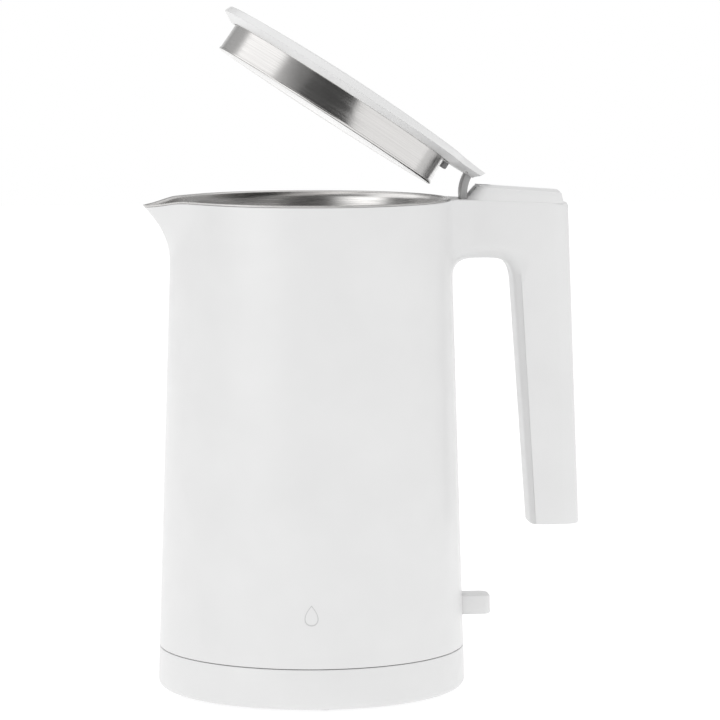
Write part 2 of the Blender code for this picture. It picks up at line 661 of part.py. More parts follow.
def add_hinge_arm(piece, pivot, grey):
    """The curved neck: it leaves the lid, dips through the deck and turns back up to the pin."""
    inner, outer = ARM_RADII
    x, z = HINGE
    neck = arc_points(HINGE, outer, ARM_TOP_ANGLE, ARM_TAIL_ANGLE, 14)
    web_angle = ARM_TAIL_ANGLE
    neck += arc_points(HINGE, HUB_RADIUS, web_angle + 25.0, web_angle + 335.0, 10)
    neck += arc_points(HINGE, inner, web_angle - 14.0, ARM_TOP_ANGLE, 12)
    arm = piece("lid_hinge_arm", prism(neck, -ARM_HALF_WIDTH, ARM_HALF_WIDTH), grey)
    foot = [(73.2, 243.6), (76.0, 243.6), (75.6, 246.2), (66.6, 246.2), (66.6, 245.2), (73.2, 245.2)]
    join(arm, prism(foot, -ARM_HALF_WIDTH, ARM_HALF_WIDTH), pivot)
    cut(arm, rod(x, z, PIN_RADIUS + GAP, 8.0, 14), pivot)


# ------------------------------------------------------------------------------------ power base
def add_power_base(white, grey, black, brass, rubber, steel):
    low_radius, top_radius = BASE_RADII
    places = [on_circle(BASE_SCREW_CIRCLE, turn) for turn in (30.0, 150.0, 270.0)]
    profile = [(26.2, BASE_TOP_Z), (top_radius - 0.8, BASE_TOP_Z), (top_radius, BASE_TOP_Z - 0.8)]
    profile += [(low_radius, 4.0), (low_radius - 0.8, 2.0), (low_radius - 2.4, BASE_BOTTOM_Z)]
    profile += [(low_radius - 2.9, BASE_BOTTOM_Z + 0.6), (low_radius - BASE_WALL - 0.7, 5.0)]
    profile += [(top_radius - BASE_WALL, BASE_TOP_Z - BASE_WALL), (26.2, BASE_TOP_Z - BASE_WALL)]
    shell = add_object("base_upper_shell", turned(profile, TURNED_SEGMENTS), white)
    for place in places:
        join(shell, disc(3.4, 4.0, BASE_TOP_Z - 1.0, 12, place))
        cut(shell, disc(1.6, 3.0, 14.0, 12, place))
    cut(shell, along_y(disc(4.3, 60.0, 90.0, 16)))

    hub, rim_radius = 20.0, low_radius - 3.3
    under = [(hub, 1.0), (hub, 1.6), (rim_radius, 1.6), (rim_radius, 3.4)]
    cover = add_object("base_lower_cover", turned(under, TURNED_SEGMENTS, closed=False), grey)
    for number, place in enumerate(places, start=1):
        cut(cover, disc(3.2, 0.0, 2.5, 12, place))
        cut(cover, disc(1.6, 2.0, 4.0, 12, place))
        add_object(f"base_screw_{number}", screw(1.1, 12.0, 2.8, 1.3, place), steel)
    for number, turn in enumerate((0.0, 90.0, 180.0, 270.0), start=1):
        place = on_circle(FOOT_CIRCLE, turn)
        cut(cover, disc(FOOT_RADIUS + GAP, 0.0, 2.4, 16, place))
        foot = [(FOOT_RADIUS - 0.6, 0.0), (FOOT_RADIUS, 0.6), (FOOT_RADIUS, 2.1)]
        add_object(f"base_foot_{number}", turned(foot, 16, place, closed=False), rubber)

    add_tower(black, brass)
    gland = [(2.4, 70.6), (5.6, 70.6), (5.6, 72.4), (4.0, 72.4), (4.0, 77.6), (3.4, 78.4), (2.4, 78.4)]
    add_object("cord_gland", along_y(turned(gland, 16)), black)


def along_y(bm, height=9.6):
    """Lay a shape that was turned about Z along Y, at the height of the cord's inlet."""
    for vertex in bm.verts:
        x, y, z = vertex.co
        vertex.co = (x, z, y + height)
    return bm


def add_tower(black, brass):
    """The round connector of the base, its contacts, and the ring that the kettle turns on."""
    flange_top = BASE_TOP_Z - BASE_WALL - GAP
    tower = [(29.0, flange_top - 2.6), (29.0, flange_top), (TOWER_RADIUS, flange_top)]
    tower += [(TOWER_RADIUS, TOWER_TOP_Z - 0.8), (TOWER_RADIUS - 0.8, TOWER_TOP_Z)]
    tower += [(13.2, TOWER_TOP_Z), (13.2, 21.6), (8.8, 21.6), (8.8, TOWER_TOP_Z)]
    tower += [(3.4, TOWER_TOP_Z), (3.4, 18.6), (1.0, 18.6), (1.0, 14.0), (12.0, 14.0)]
    tower += [(12.0, flange_top - 2.6)]
    add_object("base_connector_tower", turned(tower, 24), black)
    add_object("base_contact_ring", ring(12.3, 12.9, 21.9, 28.0, 24), brass)
    add_object("base_contact_socket", ring(2.1, 3.1, 18.9, 28.0, 12), brass)
    slip = [(18.4, flange_top + GAP), (25.6, flange_top + GAP), (25.6, 21.0), (25.0, 21.5)]
    slip += [(18.4, 21.5)]
    add_object("base_swivel_ring", turned(slip, 24), make_material("slip_nylon", (0.72, 0.72, 0.70), 0.5))


def build():
    clear_scene()
    white = make_material("white_plastic", (0.86, 0.86, 0.86), 0.38)
    grey = make_material("grey_plastic", (0.42, 0.42, 0.42), 0.45)
    black = make_material("black_plastic", (0.03, 0.03, 0.03), 0.5)
    steel = make_material("brushed_steel", (0.62, 0.61, 0.60), 0.3, 1.0)
    aluminium = make_material("aluminium", (0.75, 0.75, 0.76), 0.4, 1.0)
    heater_steel = make_material("heater_sheath", (0.35, 0.34, 0.33), 0.45, 1.0)
    brass = make_material("brass", (0.78, 0.60, 0.30), 0.3, 1.0)
    silicone = make_material("silicone", (0.80, 0.80, 0.80), 0.6)
    foam = make_material("insulation", (0.70, 0.70, 0.68), 0.9)
    rubber = make_material("rubber", (0.25, 0.25, 0.25), 0.8)
    add_outer_shell(white)
    add_handle_inner_cover(white)
    add_hinge_cover(white)
    add_inner_pot(steel)
    add_rim_seal(silicone)
    add_steam_duct(silicone)
    add_heater(aluminium, heater_steel)
    add_control(black, brass)
    add_bottom(white, grey, steel)
    add_switch_lever(white, steel)
    add_hinge(steel)
    add_lid(white, grey, steel, foam, rubber)
    add_power_base(white, grey, black, brass, rubber, steel)


build()
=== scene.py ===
"""Looks of a white cordless electric kettle: a satin plastic jug with a steel pot and a steel-lined
lid, standing on its round power base.  Lengths below are in millimetres unless a name says otherwise.
"""
import math

import bmesh
import bpy
import numpy as np
from mathutils import Matrix, Vector


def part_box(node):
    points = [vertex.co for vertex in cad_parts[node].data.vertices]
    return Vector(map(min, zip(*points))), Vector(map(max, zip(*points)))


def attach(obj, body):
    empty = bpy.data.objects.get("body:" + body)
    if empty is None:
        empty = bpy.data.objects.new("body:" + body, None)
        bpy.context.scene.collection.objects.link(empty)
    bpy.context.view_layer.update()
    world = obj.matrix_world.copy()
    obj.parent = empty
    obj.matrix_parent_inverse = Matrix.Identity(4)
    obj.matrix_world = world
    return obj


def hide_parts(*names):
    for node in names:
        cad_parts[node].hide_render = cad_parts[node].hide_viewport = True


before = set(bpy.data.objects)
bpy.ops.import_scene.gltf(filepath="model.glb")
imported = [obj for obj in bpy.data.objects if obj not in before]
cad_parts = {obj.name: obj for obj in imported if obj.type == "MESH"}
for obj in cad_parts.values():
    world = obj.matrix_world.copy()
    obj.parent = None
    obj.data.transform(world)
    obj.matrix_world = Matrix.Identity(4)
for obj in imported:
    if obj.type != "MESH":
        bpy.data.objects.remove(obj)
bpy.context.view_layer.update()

MM = 0.001


def node_mm(node):
    """Lowest and highest corners of a CAD node, in millimetres."""
    low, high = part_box(node)
    return [value / MM for value in low], [value / MM for value in high]


# --- kettle body ---
SEAM_Z = node_mm("outer_shell")[0][2]
RIM_Z = node_mm("inner_pot")[1][2]
SHELL_TOP_Z = RIM_Z - 1.0
CONE_RADIUS_AT_TABLE = 76.1
CONE_TAPER = 0.0313
SHELL_WALL = 1.6
SPOUT_START_Z = 212.0
SPOUT_BEND_Z = 235.0
SPOUT_BEND = 0.0198
SPOUT_NOSE_RADIUS = 9.0
SPOUT_DROOP = 3.0  # the lip's tip lies this far below the rim
SPOUT_DROOP_TURN = 24.0
SPOUT_DROOP_Z = (227.0, 240.7)
SPOUT_TIP_WALL_SHARE = 0.6
# columns of one half of the body, in degrees from the spout; those from 160 on carry the handle
COLUMN_TURNS = (0, 4, 8.5, 14, 20, 27, 35, 44, 54, 64, 74, 84, 94, 104, 114, 124, 134, 144, 152,
                160, 163, 170, 180)
HANDLE_COLUMN = COLUMN_TURNS.index(160)

# --- handle ---
HALF_WIDTH = 13.2
CHAMFER_FACE = 8.6  # half width of the flat between the chamfers
CHAMFER_MID = 10.9
ARM_TOP = ((62.0, 242.1), (126.8, 239.6))
GRIP_BOTTOM_Z = 80.0
GRIP_OUTER = ((127.25, 237.3), (133.3, 80.0))
GRIP_INNER = ((99.4, 201.8), (108.4, 80.0))
GRIP_PART_LINE = ((102.7, 205.0), (110.7, 80.0))
COVER_TOP_Z = 204.6

# --- steel pot ---
POT_RADIUS = 64.0
POT_WALL = 0.6
POT_FLOOR_Z = 50.2
ROLL_RADIUS = 0.5  # rounding of the rolled lip's outer edge

# --- lid and its hinge; the lid is drawn closed, then turned open about the hinge line ---
HINGE = (93.4, 244.2)
HINGE_PIN_HOLE = 1.3
LID_REST_ANGLE = math.radians(33.0)
LID_RADIUS = 69.0
LID_UNDER_Z = 242.9
LID_NOSE_Z = 245.8
LID_CROWN_Z = 251.7
LID_DOME = 2.6
LID_TAIL = ((77.5, 242.5), (81.0, 248.3))
SKIRT_RADIUS = 61.3
SKIRT_BOTTOM_Z = 228.8
ARM_RADII = (16.6, 19.8)
ARM_HALF_WIDTH = 5.2
ARM_ANGLES = (178.0, 303.0)
POCKET_RADIUS = 20.8  # room for the lid's neck inside the arm of the handle
POCKET_HALF_WIDTH = 6.2
NECK_SLOT = ((73.6, -5.2, 240.0), (76.8, 5.2, 244.9))
LID_SCREWS = ((72.5, -8.4), (72.5, 8.4))
WEDGE_FRONT = ((76.0, 241.1), (81.6, 247.6))
WEDGE_REAR = ((124.1, 239.35), (122.8, 244.65))
WEDGE_CROWN = 1.1
WEDGE_HALF_WIDTH = 12.9
WEDGE_HOLLOWS = ((7.4, 1.4), (12.0, 9.0))  # half width, and how far behind the front it starts

# --- switch lever ---
LEVER_PIVOT = (58.0, 37.0)
LEVER_TAB = ((72.8, 34.8), (89.3, 44.2))
LEVER_HALF_WIDTH = 8.0
LEVER_CORNER = 3.9
LEVER_LEAN = 0.5  # how far the paddle's end leans out towards the bottom
LEVER_LOW_EDGE, LEVER_HIGH_EDGE = (0.8, 2.1), (0.45, 0.45)  # width and height of the rounding
LEVER_PIN_HOLE = 1.5
SWITCH_SLOT = ((68.0, -8.3, 28.6), (80.0, 8.3, 44.9))

# --- power base ---
BASE_TOP_Z = 20.6
SEAM_GAP = 0.32  # what shows between the base and the jug
BASE_RADII = (76.0, 75.5)
TOWER_RADIUS = 17.3
TOWER_TOP_Z = 31.5
FOOT_RADIUS = 6.5
FOOT_CIRCLE, BASE_SCREW_CIRCLE, JUG_SCREW_CIRCLE = 62.0, 50.0, 61.0
GLAND_Z = 9.6

# --- printed droplet on the front ---
DROPLET_Z = 47.0
DROPLET_SIZE = (8.6, 10.0)
DROPLET_LINE = 0.5

# --- camera ---
CAMERA_DISTANCE = 1.81
CAMERA_SIDE = math.radians(5.5)
CAMERA_HEIGHT = 0.3465
CAMERA_HEADING = math.radians(6.263)
CAMERA_DROP = math.radians(5.817)
CAMERA_LENS = 184.2

# --- light: (degrees round from the camera's side towards +X, brightness) ---
# what glossy surfaces see near the horizon and above it, and what lights the matt ones
LOW_ROOM = ((-180, 0.9), (-160, 0.45), (-112, 0.32), (-90.1, 0.15), (-89.9, 0.15), (-82, 0.2),
            (-74, 1.4), (-60, 2.5), (-46, 2.5), (-30, 1.2), (-23, 0.07), (15, 0.07), (24, 0.5),
            (118, 0.5), (150, 0.6))
HIGH_ROOM = ((-180, 0.15), (-168, 0.15), (-158, 0.5), (-133, 0.55), (-125, 1.6), (-90.1, 1.6),
             (-89.9, 1.6), (-66, 1.6), (-58, 0.26), (-32, 0.22), (-28, 0.085), (32, 0.085),
             (41, 0.42), (50, 0.52), (100, 0.52), (150, 0.6))
LIGHTING_ROOM = ((-180, 1.0), (-90.1, 1.04), (-89.9, 1.04), (-60, 1.3), (-20, 1.2), (20, 0.93),
                 (40, 0.95), (90, 0.86), (140, 0.92))
LOW_TO_HIGH = (0.19, 0.27)  # upward part of the direction where they change over
CEILING_FROM = (0.45, 0.8)  # and where the ceiling takes over
CEILING_LEVEL = 1.2
FLOOR_PALENESS = 0.25
FLOOR_GLOW = 0.86

LID_TURN = (Matrix.Translation((HINGE[0] * MM, 0.0, HINGE[1] * MM))
            @ Matrix.Rotation(LID_REST_ANGLE, 4, "Y")
            @ Matrix.Translation((-HINGE[0] * MM, 0.0, -HINGE[1] * MM)))


# --- mesh tools ---
def link_mesh(name, bm, matrix=None):
    """Turn bm, drawn in millimetres, into an object."""
    bmesh.ops.recalc_face_normals(bm, faces=bm.faces)
    for vertex in bm.verts:
        vertex.co = vertex.co * MM
    mesh = bpy.data.meshes.new(name)
    bm.to_mesh(mesh)
    bm.free()
    obj = bpy.data.objects.new(name, mesh)
    bpy.context.scene.collection.objects.link(obj)
    if matrix is not None:
        obj.matrix_world = matrix
    return obj


def loft(rings, closed=False):
    """Skin equal-length rings of points; the ends are capped unless the rings close on themselves."""
    bm = bmesh.new()
    rows = [[bm.verts.new(point) for point in ring] for ring in rings]
    count = len(rows[0])
    pairs = list(zip(rows, rows[1:]))
    if closed:
        pairs.append((rows[-1], rows[0]))
    for lower, upper in pairs:
        for i in range(count):
            j = (i + 1) % count
            bm.faces.new((lower[i], lower[j], upper[j], upper[i]))
    if not closed:
        bm.faces.new(rows[0])
        bm.faces.new(rows[-1])
    return bm


def turned(profile, count=64, centre=(0.0, 0.0), closed=True):
    """Revolve (radius, z) points about a vertical axis; an open profile gets flat end caps."""
    turns = [2.0 * math.pi * i / count for i in range(count)]
    return loft([[(centre[0] + radius * math.cos(t), centre[1] + radius * math.sin(t), z)
                  for t in turns] for radius, z in profile], closed)


def prism(outline, low, high, axis="Y"):
    """Extrude a flat outline: (x, z) points along Y, (x, y) points along Z."""
    place = (lambda a, b, t: (a, t, b)) if axis == "Y" else (lambda a, b, t: (a, b, t))
    return loft([[place(a, b, t) for a, b in outline] for t in (low, high)])


def box(low, high):
    corners = [(low[0], low[2]), (high[0], low[2]), (high[0], high[2]), (low[0], high[2])]
    return prism(corners, low[1], high[1])


def add_to(bm, other):
    """Put the faces of another mesh into bm."""
    copies = {vertex: bm.verts.new(vertex.co) for vertex in other.verts}
    for face in other.faces:
        bm.faces.new([copies[vertex] for vertex in face.verts])
    other.free()
    return bm


def arc_points(centre, radius, start, end, steps):
    """Points of an arc, its angles in degrees, both ends included."""
    turns = (math.radians(start + (end - start) * i / steps) for i in range(steps + 1))
    return [(centre[0] + radius * math.cos(t), centre[1] + radius * math.sin(t)) for t in turns]


def rounded(outline, radii, steps=4):
    """Round the corners of a closed (a, b) outline, each by a radius of its own."""
    points = []
    for i, corner in enumerate(outline):
        here = Vector(corner)
        back = Vector(outline[i - 1]) - here
        ahead = Vector(outline[(i + 1) % len(outline)]) - here
        half = back.angle(ahead) / 2.0
        reach = radii[i] / math.tan(half) if radii[i] else 0.0
        if reach == 0.0:
            points.append(tuple(here))
            continue
        start = here + back.normalized() * reach
        end = here + ahead.normalized() * reach
        for step in range(steps + 1):
            t = step / steps
            # a conic through both tangent points that is a true arc at this corner
            weight = math.sin(half)
            a, b, c = (1 - t) ** 2, 2 * t * (1 - t) * weight, t * t
            point = (a * start + b * here + c * end) / (a + b + c)
            points.append(tuple(point))
    return points


def bore(centre, radius, reach, steps=24):
    """A round tool along Y, to both sides of the centre plane."""
    return prism(arc_points(centre, radius, 0.0, 360.0, steps)[:-1], -reach, reach)


def deck_z(x):
    """Height of the handle's sloping top."""
    (x0, z0), (x1, z1) = ARM_TOP
    return z0 + (z1 - z0) * (x - x0) / (x1 - x0)


def on_line(line, z):
    """The x of a two-point (x, z) line at height z."""
    (x0, z0), (x1, z1) = line
    return x0 + (x1 - x0) * (z - z0) / (z1 - z0)


def apply_modifiers(obj):
    """Replace an object's mesh with its evaluated one and drop the modifiers."""
    depsgraph = bpy.context.evaluated_depsgraph_get()
    mesh = bpy.data.meshes.new_from_object(obj.evaluated_get(depsgraph))
    old = obj.data
    obj.modifiers.clear()
    obj.data = mesh
    bpy.data.meshes.remove(old)
    mesh.name = obj.name


def cut(target, tool_bm, operation="DIFFERENCE"):
    """Cut tool_bm, drawn in millimetres, from target at once, or keep only what both hold."""
    tool = link_mesh("tool", tool_bm, matrix=target.matrix_world)
    modifier = target.modifiers.new("cut", "BOOLEAN")
    modifier.operation = operation
    modifier.solver = "EXACT"
    modifier.object = tool
    apply_modifiers(target)
    bpy.data.objects.remove(tool, do_unlink=True)


def soften(obj, width):
    """Bevel an object's sharp edges by a width in millimetres."""
    bevel = obj.modifiers.new("soften", "BEVEL")
    bevel.width = width * MM
    bevel.segments = 2
    bevel.limit_method = "ANGLE"
    bevel.angle_limit = math.radians(30.0)
    apply_modifiers(obj)


def finish_piece(obj, material, body, slot, *replaced, sharp_degrees=35.0):
    """Give a piece its material and the body it rides on, and hide the CAD nodes it stands for; slot
    is not used.
    """
    obj.data.shade_smooth()
    obj.data.set_sharp_from_angle(angle=math.radians(sharp_degrees))
    obj.data.materials.clear()
    obj.data.materials.append(material)
    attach(obj, body)
    if replaced:
        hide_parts(*replaced)


# --- body and spout shapes ---
def cone_radius(z):
    return CONE_RADIUS_AT_TABLE - CONE_TAPER * z


def spout_reach(z):
    """How far the spout's front line stands out from the cone at height z."""
    curve = SPOUT_BEND * max(0.0, min(z, SPOUT_BEND_Z) - SPOUT_START_Z) ** 2
    slope = 2.0 * SPOUT_BEND * (SPOUT_BEND_Z - SPOUT_START_Z)
    return curve + slope * max(0.0, z - SPOUT_BEND_Z)


def droop(away, z):
    """How far the spout's lip bends down at an angle away from the tip."""
    low, high = SPOUT_DROOP_Z
    share = min(1.0, max(0.0, (z - low) / (high - low)))
    turn = min(1.0, away / math.radians(SPOUT_DROOP_TURN))
    return SPOUT_DROOP * share * math.cos(0.5 * math.pi * turn) ** 2


def body_outline(z, inset, turns):
    """The body's outline at z: a circle and the spout's nose circle, joined by tangents."""
    radius = cone_radius(z) - inset
    reach = spout_reach(z - droop(0.0, z))
    tip = cone_radius(z) + reach - inset * (SPOUT_TIP_WALL_SHARE if reach > 0.3 else 1.0)
    tip = max(tip, radius)
    nose = SPOUT_NOSE_RADIUS - 0.5 * inset
    offset = tip - nose
    tangent = math.acos(min(1.0, (radius - nose) / offset))
    nose_end = math.atan2(nose * math.sin(tangent), offset + nose * math.cos(tangent))
    points = []
    for turn in turns:
        angle = math.radians(turn)
        away = abs(angle)
        if away >= tangent:
            distance = radius
        elif away >= nose_end:
            distance = radius / math.cos(tangent - away)
        else:
            across = offset * math.sin(away)
            distance = offset * math.cos(away) + math.sqrt(nose * nose - across * across)
        points.append((-distance * math.cos(angle), -distance * math.sin(angle), z - droop(away, z)))
    return np.array(points)


ALL_TURNS = COLUMN_TURNS + tuple(-turn for turn in reversed(COLUMN_TURNS[1:-1]))
COLUMNS = len(ALL_TURNS)
SPLINE = sum(np.roll(np.eye(COLUMNS), shift, axis=1) * share
             for shift, share in ((-1, 1 / 6), (0, 4 / 6), (1, 1 / 6)))
SPLINE_INVERSE = np.linalg.inv(SPLINE)


def ring_controls(z, inset):
    """Control points of the closed cubic spline that passes through the outline at each column."""
    return SPLINE_INVERSE @ body_outline(z, inset, ALL_TURNS)


def body_ring(z, inset, per_span=6):
    """Fine points of that same spline, so that the pot and the seal follow the shell exactly."""
    controls = ring_controls(z, inset)
    points = []
    for i in range(COLUMNS):
        a, b, c, d = (controls[(i + step) % COLUMNS] for step in (-1, 0, 1, 2))
        for part in range(per_span):
            t = part / per_span
            weights = ((1 - t) ** 3, 3 * t ** 3 - 6 * t * t + 4,
                       -3 * t ** 3 + 3 * t * t + 3 * t + 1, t ** 3)
            points.append(tuple(sum(w * p for w, p in zip(weights, (a, b, c, d))) / 6.0))
    return points


# --- handle lattice ---
# The handle is a lattice of cells joined to the body's wall: i runs outwards from the body (0) to
# the back (12), j across (0 to 6) and k upwards, 0 to 7 in the arm and -9 to -1 in the grip.
ARM_ROW_Z = (204.0, 212.0, 219.0, 226.0, 232.0, 237.0, SHELL_TOP_Z - 0.8, SHELL_TOP_Z)
GRIP_ROW_Z = (GRIP_BOTTOM_Z, GRIP_BOTTOM_Z + 1.2, 88.0, 105.0, 130.0, 155.0, 180.0, 197.0, 203.5)
BACK, ACROSS, ARM_LEVELS, GRIP_START = 12, 6, 7, 7
ROOT_SIDE = {1: (68.4, 18.6), 2: (73.0, 14.9), 3: (78.5, 13.3)}
ROOT_CENTRE = {1: 71.0, 2: 74.5, 3: 79.0}
ARM_X = {4: 84.5, 5: 90.0, 6: 95.5, 7: 101.5, 8: 106.5, 9: 112.0}
SIDE_Z = {1: (214.8, 220.0, 226.0, 231.7, 236.6), 2: (216.2, 220.6, 226.0, 231.5, 236.3),
          7: (213.8, 219.8, 225.8, 231.4, 236.0), 8: (215.0, 220.3, 225.8, 231.3, 235.8)}
SIDE_Z_PLAIN = (216.6, 220.8, 226.0, 231.4, 236.2)
# underside of the arm: (x, y, z) for the edge, the chamfer's foot, the quarter and the centre
UNDER = {1: ((67.9, 19.0, 210.1), (68.3, 15.8, 207.9), (69.7, 9.0, 207.2), (70.25, 0.0, 207.1)),
         2: ((72.0, 14.4, 213.2), (71.7, 11.4, 211.2), (72.1, 6.0, 210.6), (72.3, 0.0, 210.5)),
         3: ((77.2, 11.7, 214.5), (76.3, 9.2, 212.5), (76.2, 4.8, 212.35), (76.2, 0.0, 212.3))}
UNDER_FLAT = {4: (82.0, 212.5), 5: (88.2, 212.5), 6: (94.0, 212.0), 7: (97.6, 209.1)}
CORNER_EDGE = (99.7, CHAMFER_MID, 210.9)
SIDE_TO_MIDDLE = (HALF_WIDTH, HALF_WIDTH - 1.0, 6.1, 0.0)
BACK_START = 9.8  # the rounded back starts this far in from its outermost line


def back_section(i, jj, outer_x):
    """Plan of the rounded back: its last three stations, (x, y) from the edge to the centre."""
    if i == BACK:
        return ((outer_x - 1.0, 9.6), (outer_x, 5.6), (outer_x, 2.8), (outer_x, 0.0))[jj]
    if i == BACK - 1:
        inner = ((outer_x - 3.5, 9.7), (outer_x - 1.2, 4.0), (outer_x - 1.2, 0.0))
        return (outer_x - 4.6, 12.6) if jj == 0 else inner[jj - 1]
    return outer_x - BACK_START, SIDE_TO_MIDDLE[jj]


def arm_point(i, jj, k):
    """A lattice point on the arm, its y counted outwards from the centre plane."""
    if k == ARM_LEVELS:
        if i in ROOT_SIDE:
            side_x, side_y = ROOT_SIDE[i]
            y = (side_y, side_y - 1.0, 0.46 * side_y, 0.0)[jj]
            x = ROOT_CENTRE[i] + (side_x - ROOT_CENTRE[i]) * (y / side_y) ** 2
        elif i in ARM_X:
            x, y = ARM_X[i], SIDE_TO_MIDDLE[jj]
        else:
            x, y = back_section(i, jj, ARM_TOP[1][0])
        return x, y, deck_z(x)
    if k == 0 and i in UNDER:
        return UNDER[i][jj]
    if k == 0 and i in UNDER_FLAT:
        x, z = UNDER_FLAT[i]
        if jj == 0 and i == GRIP_START:
            return CORNER_EDGE
        if jj == 0:
            return x + 0.3 * (i == 6), CHAMFER_MID, z + 2.3
        return x, (CHAMFER_FACE, 4.5, 0.0)[jj - 1], z
    if i in ROOT_SIDE:
        x, y = ROOT_SIDE[i]
    elif i <= 9:
        x, y = ARM_X[i], HALF_WIDTH
        if i == 7 and k < 3:
            x = (0.0, 102.0, 101.8)[k]
        if i == 8 and k < 2:
            x = (104.5, 105.8)[k]
    else:
        x, y = 0.0, 0.0
    if k == ARM_LEVELS - 1:
        z = deck_z(min(x or ARM_TOP[1][0], ARM_TOP[1][0])) - (1.0 if i < BACK else 1.7)
    elif k == 0:
        z = 208.6
    else:
        z = SIDE_Z.get(min(i, 8), SIDE_Z_PLAIN)[k - 1]
    if i >= 10:
        x, y = back_section(i, jj, on_line(GRIP_OUTER, z))
    return x, y, z


def grip_point(i, jj, k):
    """A lattice point on the grip, whose bottom face has a loop just inside its edge."""
    z = GRIP_ROW_Z[k + len(GRIP_ROW_Z)]
    inner, part, outer = (on_line(line, z) for line in (GRIP_INNER, GRIP_PART_LINE, GRIP_OUTER))
    if i == GRIP_START:
        edge = ((inner + part) / 2.0, CHAMFER_MID)
        x, y = (edge, (inner, CHAMFER_FACE), (inner, 4.5), (inner, 0.0))[jj]
    elif i == 8:
        loop = ((inner + part) / 2.0 + 0.8, CHAMFER_MID - 1.1)
        x, y = ((part, HALF_WIDTH), loop, (inner + 1.2, 4.5), (inner + 1.2, 0.0))[jj]
    elif i == 9:
        x, y = (part + outer - BACK_START) / 2.0, SIDE_TO_MIDDLE[jj]
    else:
        x, y = back_section(i, jj, outer)
    return x, y, z


def handle_cells():
    arm = {(i, j, k) for i in range(BACK) for j in range(ACROSS) for k in range(ARM_LEVELS)}
    grip = {(i, j, k) for i in range(GRIP_START, BACK) for j in range(ACROSS)
            for k in range(-len(GRIP_ROW_Z), 0)}
    return arm | grip


def shell_rows():
    """(z, inset) of the wall's rows: up the outside, over the rim and down the inside."""
    low = SEAM_Z
    outside = [(low, 2.2), (low, 0.7), (low, 0.0), (low + 0.7, 0.0), (low + 3.0, 0.0)]
    outside += [(z, 0.0) for z in (40.0, 80.0, 120.0, 160.0, 186.0, 198.0)]
    outside += [(z, 0.0) for z in ARM_ROW_Z]
    rim = [(SHELL_TOP_Z, 1.0), (SHELL_TOP_Z, SHELL_WALL), (SHELL_TOP_Z - 1.0, SHELL_WALL)]
    inside = [(238.0, 1.6), (230.0, 1.7), (219.0, 1.8), (204.0, 2.0), (120.0, 2.2), (40.0, 2.2)]
    return outside + rim + inside + [(low + 2.0, 2.2)]


def shell_cage():
    """One closed cage for the wall, the spout and the handle; returns it with its crease edges."""
    bm = bmesh.new()
    rows = shell_rows()
    wall = [[bm.verts.new(point) for point in ring_controls(z, inset)] for z, inset in rows]
    first = rows.index((ARM_ROW_Z[0], 0.0))
    window = {(first + k, HANDLE_COLUMN + j) for k in range(ARM_LEVELS) for j in range(ACROSS)}
    for r in range(len(rows)):
        for c in range(COLUMNS):
            if (r, c) in window:
                continue
            s, d = (r + 1) % len(rows), (c + 1) % COLUMNS
            bm.faces.new((wall[r][c], wall[r][d], wall[s][d], wall[s][c]))
    lattice = {}

    def lattice_vertex(i, j, k):
        if i == 0:
            return wall[first + k][HANDLE_COLUMN + j]
        if (i, j, k) not in lattice:
            jj = min(j, ACROSS - j)
            x, y, z = arm_point(i, jj, k) if k >= 0 else grip_point(i, jj, k)
            lattice[i, j, k] = bm.verts.new((x, y if j > jj else -y, z))
        return lattice[i, j, k]

    cells = handle_cells()
    for i, j, k in sorted(cells):
        for axis in range(3):
            for side in (0, 1):
                beside = [i, j, k]
                beside[axis] += 1 if side else -1
                if tuple(beside) in cells or beside[0] < 0:
                    continue
                corners = []
                for a, b in ((0, 0), (1, 0), (1, 1), (0, 1)):
                    corner = [i, j, k]
                    corner[axis] += side
                    corner[(axis + 1) % 3] += a
                    corner[(axis + 2) % 3] += b
                    corners.append(lattice_vertex(*corner))
                bm.faces.new(corners)
    bmesh.ops.delete(bm, geom=[v for v in bm.verts if not v.link_faces], context="VERTS")
    crease = bm.edges.layers.float.new("crease_edge")
    for j in (0, ACROSS):
        for k in range(-len(GRIP_ROW_Z) + 1, 0):
            edge = bm.edges.get((lattice[8, j, k], lattice_vertex(8, j, k + 1)))
            edge[crease] = 0.9 if k < -1 else 0.5
    return bm


def add_outer_shell(white):
    """The jug's wall, spout and handle, with openings for the lid's neck and the switch lever.
    The grip's inner cover is split off as a piece of its own."""
    shell = link_mesh("kettle_shell", shell_cage())
    smooth = shell.modifiers.new("smooth", "SUBSURF")
    smooth.levels = smooth.render_levels = 2
    apply_modifiers(shell)
    openings = bore(HINGE, POCKET_RADIUS, POCKET_HALF_WIDTH, 72)
    add_to(openings, box(*SWITCH_SLOT))
    cut(shell, openings)
    cover = shell.copy()
    cover.data = shell.data.copy()
    cover.name = "grip_inner_cover"
    bpy.context.scene.collection.objects.link(cover)
    cut(shell, prism(cover_region(0.0), -16.0, 16.0))
    cut(cover, prism(cover_region(0.07), -16.0, 16.0), "INTERSECT")
    finish_piece(shell, white, "kettle", "white_shell", "outer_shell", sharp_degrees=40.0)
    finish_piece(cover, white, "kettle", "white_shell", "handle_inner_cover", sharp_degrees=40.0)


def cover_region(gap):
    """Side outline of the grip's inner cover, just inside its part line."""
    low, high = GRIP_BOTTOM_Z - 2.0, COVER_TOP_Z - 0.2 * gap
    edge = 0.25 + gap
    outline = [(88.0, low), (on_line(GRIP_PART_LINE, low) - edge, low)]
    return outline + [(on_line(GRIP_PART_LINE, high) - edge, high), (88.0, high)]


